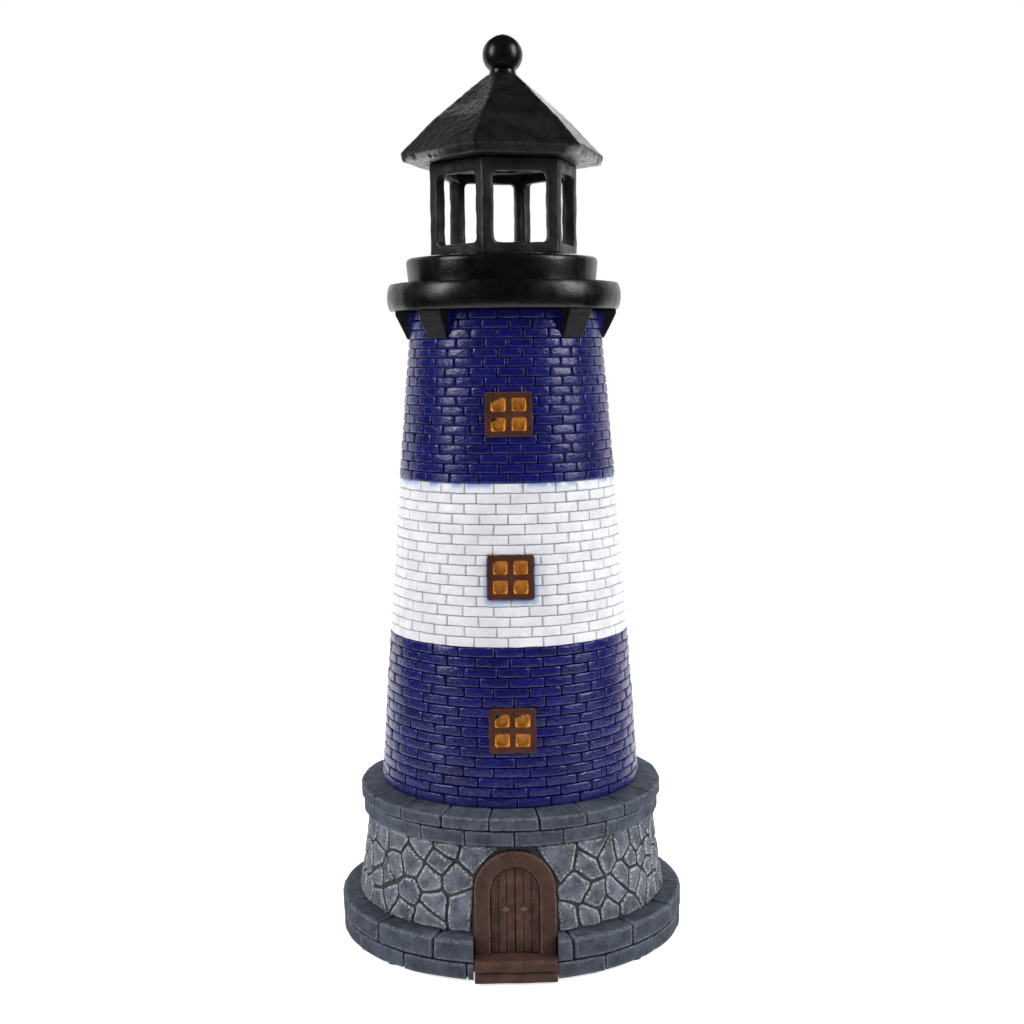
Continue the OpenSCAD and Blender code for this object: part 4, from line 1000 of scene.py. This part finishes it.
# %% Set the three windows in the tower
SPILT = {"lower": (-0.12, 0.16, -0.3, 0.12), "middle": (-0.4, -0.05, -0.12, -0.4),
         "upper": (0.06, 0.1, -0.16, -0.4)}
PANE_X, PANE_Y = (BAR + LIGHT_W) / 2, (BAR + LIGHT_H) / 2
for i, (name, zw) in enumerate(WINDOWS.items()):
    wall = against_wall(tower_radius(zw), zw, LEAN)
    plate = window_frame(i * 7.3)
    bmesh.ops.transform(plate, matrix=wall, verts=plate.verts)
    piece(f"frame_{name}", plate, frame_brown, "wood", f"window_frame_{name}")
    panes = bmesh.new()
    attributes_of(panes)
    places = [(x, y) for x in (-PANE_X, PANE_X) for y in (-PANE_Y, PANE_Y)]
    for (x, y), spilt in zip(places, SPILT[name]):
        add(panes, window_light(x, y, 6.0, 5.6, i * 5 + x + y, spilt))
    bmesh.ops.transform(panes, matrix=wall, verts=panes.verts)
    piece(f"lights_{name}", panes, amber, "amber", f"window_panes_{name}")

# %% [markdown]
# ## Door and step
# The surround is one band that goes up, round and down again, so its cross-section is made once and
# carried along that path: pushed up a leg, spun through half a turn and pushed down the other leg. The
# step is a profile too, pushed across the notch. Both get the waver of a hand-cut pattern.

# %% Bend the door surround
DOOR_W, DOOR_BORDER, DOOR_T = 31.2, 6.2, 4.5
DOOR_LEAN = radians(6.8)
DOOR_FOOT = high["door_step"].z
DOOR_H = (high["door_surround"].z - DOOR_FOOT) / cos(DOOR_LEAN)
DOOR_OUT = 64.0
LEG_STEPS = 10


def push(bm, face, vec, steps):
    """Extrudes a face in equal steps."""
    for _ in range(steps):
        new = bmesh.ops.extrude_face_region(bm, geom=[face])["geom"]
        bmesh.ops.translate(bm, vec=Vector(vec) / steps, verts=only(BMVert, new))
        face = only(BMFace, new)[0]
    return face


surround = bmesh.new()
edge = attributes_of(surround)[0]
inner, outer = DOOR_W / 2 - DOOR_BORDER, DOOR_W / 2
section = [(inner, -DOOR_T), (outer, -DOOR_T), (outer, -1.0), (outer - 0.3, -0.3), (outer - 1.0, -0.04),
           (outer - 2.6, 0), (inner + 2.6, 0), (inner + 0.9, -0.04), (inner + 0.25, -0.3), (inner, -0.9)]
face = surround.faces.new([surround.verts.new((x, -1.5, z)) for x, z in section])
leg = DOOR_H - outer + 1.5
face = push(surround, face, (0, leg, 0), LEG_STEPS)
head = bmesh.ops.spin(surround, geom=[face] + face.edges[:] + face.verts[:], cent=(0, DOOR_H - outer, 0),
                      axis=(0, 0, 1), angle=pi, steps=36)
push(surround, only(BMFace, head["geom_last"])[0], (0, -leg, 0), LEG_STEPS)
for v in surround.verts:
    v[edge] = 1.0 if -1.1 < v.co.z < -0.2 else 0.0
roughen(surround.verts, 6, 0.22, 3.0, across=Vector((1, 1, 0.5)))
on_door = against_wall(DOOR_OUT, DOOR_FOOT, DOOR_LEAN)
bmesh.ops.transform(surround, matrix=on_door, verts=surround.verts)
cut(surround, (0, 0, DOOR_FOOT - 0.05), (0, 0, -1))
piece("surround", surround, wood, "wood", "door_surround", flat=50)

# %% Cast the step
STEP_BACK, STEP_FRONT = -high["door_step"].y, -low["door_step"].y + 2.2
HALF_W = DOOR_W / 2
NOSE_Z = (PLINTH_Z + DOOR_FOOT) / 2
step_bm = bmesh.new()
edge = attributes_of(step_bm)[0]
section = [(STEP_BACK, PLINTH_Z), (STEP_FRONT - 1.2, PLINTH_Z), (STEP_FRONT - 0.8, PLINTH_Z + 0.5),
           (STEP_FRONT - 0.6, NOSE_Z - 0.6), (STEP_FRONT - 1.1, NOSE_Z), (STEP_FRONT - 0.1, NOSE_Z + 0.4),
           (STEP_FRONT, NOSE_Z + 1.4), (STEP_FRONT, DOOR_FOOT - 1.8), (STEP_FRONT - 0.3, DOOR_FOOT - 0.8),
           (STEP_FRONT - 1.1, DOOR_FOOT - 0.15), (STEP_FRONT - 2.2, DOOR_FOOT), (STEP_BACK, DOOR_FOOT)]
face = step_bm.faces.new([step_bm.verts.new((-HALF_W, -r, z)) for r, z in section])
push(step_bm, face, (2 * HALF_W, 0, 0), 16)


def at_an_end(e):
    """True for the front edges of the step's left and right side."""
    a, b = (v.co for v in e.verts)
    aside = min(abs(a.x), abs(b.x)) > HALF_W - 0.01 and a.x * b.x > 0
    return aside and min(a.y, b.y) < -STEP_FRONT + 3


soften(step_bm, [e for e in step_bm.edges if at_an_end(e)], 0.5, 2)
for v in step_bm.verts:
    v[edge] = 0.5 if DOOR_FOOT - 1.2 < v.co.z and v.co.y < -STEP_FRONT + 1.5 else 0.0
roughen(step_bm.verts, 9, 0.35, 9.0, across=Vector((0.5, 0.6, 0.8)))
piece("step", step_bm, wood, "wood", "door_step", flat=50)

# %% [markdown]
# ## Gallery, kerb and ball
# These were turned before they were moulded, so a profile spun round the axis gives them, with enough
# points on it for the casting's waver. The noise is stronger sideways than upwards, which keeps the rims
# level to the eye.

# %% Turn the gallery
def level_points(radii, z):
    return [(r, z) for r in radii]


def turned(name, profile, node_name, steps, waver, shift):
    """A turned ring, which stands a little to one side of the axis as the castings do."""
    bm = bmesh.new()
    lathe(bm, profile, steps=steps)
    bmesh.ops.remove_doubles(bm, verts=bm.verts, dist=1e-4)
    roughen(bm.verts, 9, waver, 4.0, across=Vector((1, 1, 0.6)))
    roughen(bm.verts, 2.6, waver * 0.35, 8.0)
    bmesh.ops.translate(bm, vec=(shift, 0, 0), verts=bm.verts)
    piece(name, bm, black, "black", node_name, flat=50)


BORE = 24
KERB_BORE = 14.3
RIM_END = 66                       # degrees up and down from the rim's middle
DECK_MIDDLE, DECK_HALF = (DECK_Z + KERB_Z) / 2, (KERB_Z - DECK_Z) / 2
rim = [(DECK_R - 2.4 + 2.2 * cos(radians(a)),
        DECK_MIDDLE + DECK_HALF * sin(radians(a)) / sin(radians(RIM_END)))
       for a in range(-RIM_END, RIM_END + 1, 11)]
deck = level_points((BORE, 32, 36, 40, 43), DECK_Z) + rim
deck += level_points((43.5, 42, 40.5, 39, 37.5, 34, 30, BORE), KERB_Z)
turned("deck", deck, "gallery_deck", 168, 0.2, shift=-0.5)
kerb = level_points((KERB_BORE, 24, 30, 34, KERB_R - 0.9), KERB_Z)
kerb += [(KERB_R - 0.6, KERB_Z + 2.5), (KERB_R - 0.35, KERB_Z + 5), (KERB_R - 0.1, CAGE_Z - 2.4)]
kerb += curve_points((KERB_R - 1.9, CAGE_Z - 1.8), 1.8, 0, 90, 5)
kerb += level_points((35, 33.5, 32, 30.5, 28, 24, 20, 17.5, KERB_BORE), CAGE_Z)
turned("kerb", kerb, "lantern_kerb", 144, 0.16, shift=-1.2)

# %% Turn the ball
BALL_R = high["roof_finial"].x
BALL_Z = high["roof_finial"].z - BALL_R
ROOF_TOP = high["lantern_roof"].z
AXIS = 0.001                       # stands for the axis itself in a profile
neck = [(AXIS, ROOF_TOP - 0.4), (5.6, ROOF_TOP - 0.4), (5.45, ROOF_TOP + 0.1), (5.2, ROOF_TOP + 0.9)]
ball = bmesh.new()
lathe(ball, neck + [(max(r, AXIS), z) for r, z in curve_points((0, BALL_Z), BALL_R - 0.05, -50, 90, 22)],
      steps=64)
bmesh.ops.remove_doubles(ball, verts=ball.verts, dist=0.02)
roughen(ball.verts, 7, 0.16, 1.0)
piece("ball", ball, black, "black", "roof_finial", flat=50)

# %% [markdown]
# ## Cage and roof
# These are hand-cut patterns with soft, uneven edges. Their solids already have the right outline, so
# each is copied, rebuilt as an even skin of small faces, smoothed until its edges are as soft as a
# rubber mould leaves them, and roughened. One attribute marks the downward faces at the left and right
# of the roof's lower edge, which are mixed with pale grey in patches.

# %% Cast a soft copy of a solid
def cast_copy(node_name, skin, smoothing, waver, seed, size=6):
    source = copy_of(frame["nodes"][node_name].data)
    bmesh.ops.remove_doubles(source, verts=source.verts, dist=1e-6)
    mesh = mesh_of("solid", source)
    solid = stand("solid", mesh)
    remesh = solid.modifiers.new("skin", "REMESH")
    remesh.mode = "VOXEL"
    remesh.voxel_size = skin * MM
    bpy.context.view_layer.update()
    bm = copy_of(solid.evaluated_get(bpy.context.evaluated_depsgraph_get()).to_mesh())
    bpy.data.objects.remove(solid)
    bpy.data.meshes.remove(mesh)
    bmesh.ops.scale(bm, vec=(1 / MM, 1 / MM, 1 / MM), verts=bm.verts)
    for _ in range(smoothing):
        bmesh.ops.smooth_vert(bm, verts=bm.verts, factor=0.5, use_axis_x=True, use_axis_y=True,
                              use_axis_z=True)
    roughen(bm.verts, size, waver, seed)
    roughen(bm.verts, 2.2, waver * 0.25, seed + 5)
    return bm


cage = cast_copy("lantern_cage", 0.62, 4, 0.3, 2.0)
piece("cage", cage, cage_black, "black", "lantern_cage", flat=60, merge=0)

# %% Cast the roof
roof = cast_copy("lantern_roof", 0.72, 2, 0.42, 6.0, size=17)
pale_underside = roof.verts.layers.float.new("pale_underside")
roof.normal_update()
# The downward faces at the left and right of the lower edge get the pale patches.
for v in roof.verts:
    aside = clamp((abs(v.co.x) - 22) / 6) if v.co.xy.length > 30 else 0.0
    v[pale_underside] = clamp(-v.normal.z * 2) * aside
piece("roof", roof, roof_black, "black", "lantern_roof", flat=60, merge=0)

# %% [markdown]
# ## Brackets
# Six corbels carry the deck, two of them at the front. Each is a profile in a plane through the axis,
# pushed sideways to its width and drawn in a little at its foot. They were painted with the deck, and the
# blue of the wall laps over their sides. The attribute near, 1 on the sides below the deck and 0 on the
# outer face, says which of the two paints is on top.

# %% Paint and cut the brackets
bracket_paint, tree, shader = paint("bracket_paint")
at = place(tree)
ragged = maths(tree, "MULTIPLY_ADD", grain(tree, at, 0.45, 4), 1.0, -0.5)
on_side = window_of(tree, maths(tree, "ADD", attribute(tree, "near"), ragged), 0.45, 0.6)
side_blue = mottled(tree, at, (19, 19, 92), (30, 31, 124), 0.2)["Colour"]
front_black = mottled(tree, at, (18, 18, 20), (34, 34, 37), 0.2)["Colour"]
feed(tree, shader, Base_Color=blend(tree, on_side, front_black, side_blue), Roughness=0.42,
     Specular_IOR_Level=0.15, Normal=bump(tree, use(tree, brush_marks, At=at)["Height"], 0.5, 0.22))

BRACKET_TOP_W, BRACKET_FOOT_W, BRACKET_H, BRACKET_R = 11.8, 9.6, 11.2, 44.0
foot = DECK_Z - BRACKET_H
inner_r = tower_radius(DECK_Z) - 1.5
foot_r = tower_radius(foot) + 0.9
section = [(inner_r, DECK_Z), (BRACKET_R, DECK_Z), (BRACKET_R, DECK_Z - 1.6), (foot_r, foot),
           (inner_r, foot)]
brackets = bmesh.new()
brackets.verts.layers.float.new("near")
for turn in (-135, -90, -43, 40, 90, 135):
    part = bmesh.new()
    near = part.verts.layers.float.new("near")
    face = part.faces.new([part.verts.new((-0.5, -r, z)) for r, z in section])
    push(part, face, (1, 0, 0), 1)
    for _ in range(3):
        bmesh.ops.subdivide_edges(part, edges=[e for e in part.edges if e.calc_length() > 2.4], cuts=1,
                                  use_grid_fill=True)
    bmesh.ops.triangulate(part, faces=[f for f in part.faces if len(f.verts) > 4])
    for v in part.verts:
        share = (v.co.z - foot) / BRACKET_H
        v.co.x *= BRACKET_FOOT_W + (BRACKET_TOP_W - BRACKET_FOOT_W) * share
        face_r = foot_r + (BRACKET_R - foot_r) * min(share * 1.17, 1)
        v[near] = clamp((face_r + v.co.y - 0.4) / 0.8) * clamp((DECK_Z - 1.4 - v.co.z) / 1.2)
    soften(part, [e for e in part.edges if sharp(e)], 0.35, 2)
    roughen(part.verts, 9, 0.3, turn)
    bmesh.ops.rotate(part, matrix=Matrix.Rotation(radians(turn), 3, "Z"), verts=part.verts)
    add(brackets, part)
piece("brackets", brackets, bracket_paint, "black", "gallery_brackets", flat=15)

# %% [markdown]
# ## Small parts that keep their solids
# The lamp, the solar panel, the base and its fittings are machine-made, so the solids from the model are
# the shapes to show, and only their finishes are mixed here. Each finish still has the variation of a
# real one: two close tones, an uneven gloss and a fine grain.

# %% Mix the small parts' finishes
def moulded(name, dark, pale, rough, metal=0.0, grit=0.25, scale=0.25):
    material, tree, shader = paint(name)
    at = place(tree)
    tones = mottled(tree, at, dark, pale, scale)
    feed(tree, shader, Base_Color=tones["Colour"], Metallic=metal,
         Roughness=window_of(tree, tones["Fine"], 0.3, 0.7, rough - 0.07, rough + 0.09),
         Normal=bump(tree, grain(tree, at, 2.4, 3), grit, 0.08))
    return material


FINISHES = {
    "lamp_shell": moulded("lamp_shell", (30, 31, 33), (44, 45, 48), 0.42),
    "nut": moulded("nut", (96, 98, 101), (128, 130, 133), 0.5),
    "board": moulded("board", (18, 74, 44), (28, 96, 58), 0.35, scale=0.5),
    "seal": moulded("seal", (20, 20, 21), (33, 33, 34), 0.8, grit=0.5),
    "screw": moulded("screw", (150, 151, 153), (196, 197, 199), 0.3, metal=1.0, scale=1.2),
    "plate": moulded("plate", (27, 28, 30), (39, 40, 43), 0.5, grit=0.4),
    "contact": moulded("contact", (168, 166, 158), (205, 203, 196), 0.28, metal=1.0, scale=1.0),
    "parts": moulded("parts", (26, 27, 29), (70, 72, 75), 0.4, scale=0.6),
    "slider": moulded("slider", (196, 197, 198), (222, 223, 224), 0.4),
    "lead": moulded("lead", (92, 18, 16), (122, 26, 22), 0.45),
    "led": moulded("led", (228, 206, 120), (250, 232, 158), 0.25, scale=0.8),
    "pull": moulded("pull", (96, 70, 58), (126, 94, 78), 0.45, scale=0.8),
    "wood": planks,
}

lens, tree, shader = paint("lens")
frost = grain(tree, place(tree), 3.0, 3)
feed(tree, shader, Base_Color=blend(tree, frost, screen(226, 226, 220), screen(242, 242, 238)),
     Roughness=window_of(tree, frost, 0.3, 0.7, 0.28, 0.42), Transmission_Weight=0.55, IOR=1.49)
FINISHES["lens"] = lens

cell, tree, shader = paint("battery_wrap")
at = place(tree)
wrap = mottled(tree, at, (36, 96, 60), (48, 116, 74), 0.2)["Colour"]
band = window_of(tree, along(tree, at, "X"), 8.8, 9.0)
feed(tree, shader, Base_Color=blend(tree, band, wrap, screen(222, 223, 224)),
     Roughness=patchy(tree, at, 1.5, 0.25, 0.36))
FINISHES["cell"] = cell

# %% [markdown]
# ## Solar cell and mortar
# The panel's face is one dark plate of crystals under clear resin, crossed by fine silver lines. They
# follow the panel across and up, so the pattern reads the object's own place. The bed of the bricks is
# the tower's solid in the colour of the joints, dark under the blue and pale under the white.

# %% Mix the solar cell
solar, tree, shader = paint("solar_cell")
at = place(tree)
crystals = node(tree, "TexVoronoi", Vector=at, Scale=0.4)["Distance"]
crystal = blend(tree, crystals, screen(14, 22, 52), screen(28, 44, 96))


def ruled(value, pitch, width):
    share = maths(tree, "FRACT", maths(tree, "DIVIDE", maths(tree, "ADD", value, 500.0), pitch), None)
    return maths(tree, "LESS_THAN", share, width / pitch)


fingers = ruled(along(tree, at, "Z"), 2.0, 0.16)
bars = ruled(maths(tree, "ADD", along(tree, at, "X"), 0.5), 12.5, 0.9)
silver = maths(tree, "MAXIMUM", fingers, bars)
feed(tree, shader, Base_Color=blend(tree, silver, crystal, screen(150, 156, 166)),
     Roughness=patchy(tree, at, 0.7, 0.12, 0.2), Coat_Weight=0.6, Coat_Roughness=0.05)
FINISHES["panel"] = solar

# %% Mix the beds of the bricks and the stones
mortar, tree, shader = paint("mortar")
at = place(tree)
dark_bed = mottled(tree, at, (8, 8, 38), (16, 16, 62), 0.3)["Colour"]
pale_bed = mottled(tree, at, (184, 186, 193), (212, 213, 219), 0.3)["Colour"]
white_part = white_band(tree, along(tree, at, "Z"), 0.1)
feed(tree, shader, Base_Color=blend(tree, white_part, dark_bed, pale_bed), Specular_IOR_Level=0.1,
     Roughness=patchy(tree, at, 1.2, 0.4, 0.6), Normal=bump(tree, grain(tree, at, 1.5, 4), 0.5, 0.2))
FINISHES["bricks"] = mortar
FINISHES["rubble"] = moulded("rubble_bed", (36, 40, 45), (58, 63, 69), 0.85, grit=0.8)

# %% Dress the solids that stay
for row in frame["record"]["subparts"]:
    solid = frame["nodes"][row["node"]]
    if not solid.hide_render:
        solid.data.materials.clear()
        solid.data.materials.append(FINISHES[row["material_slot"]])
print("solids that stay:", sum(not o.hide_render for o in frame["nodes"].values()))
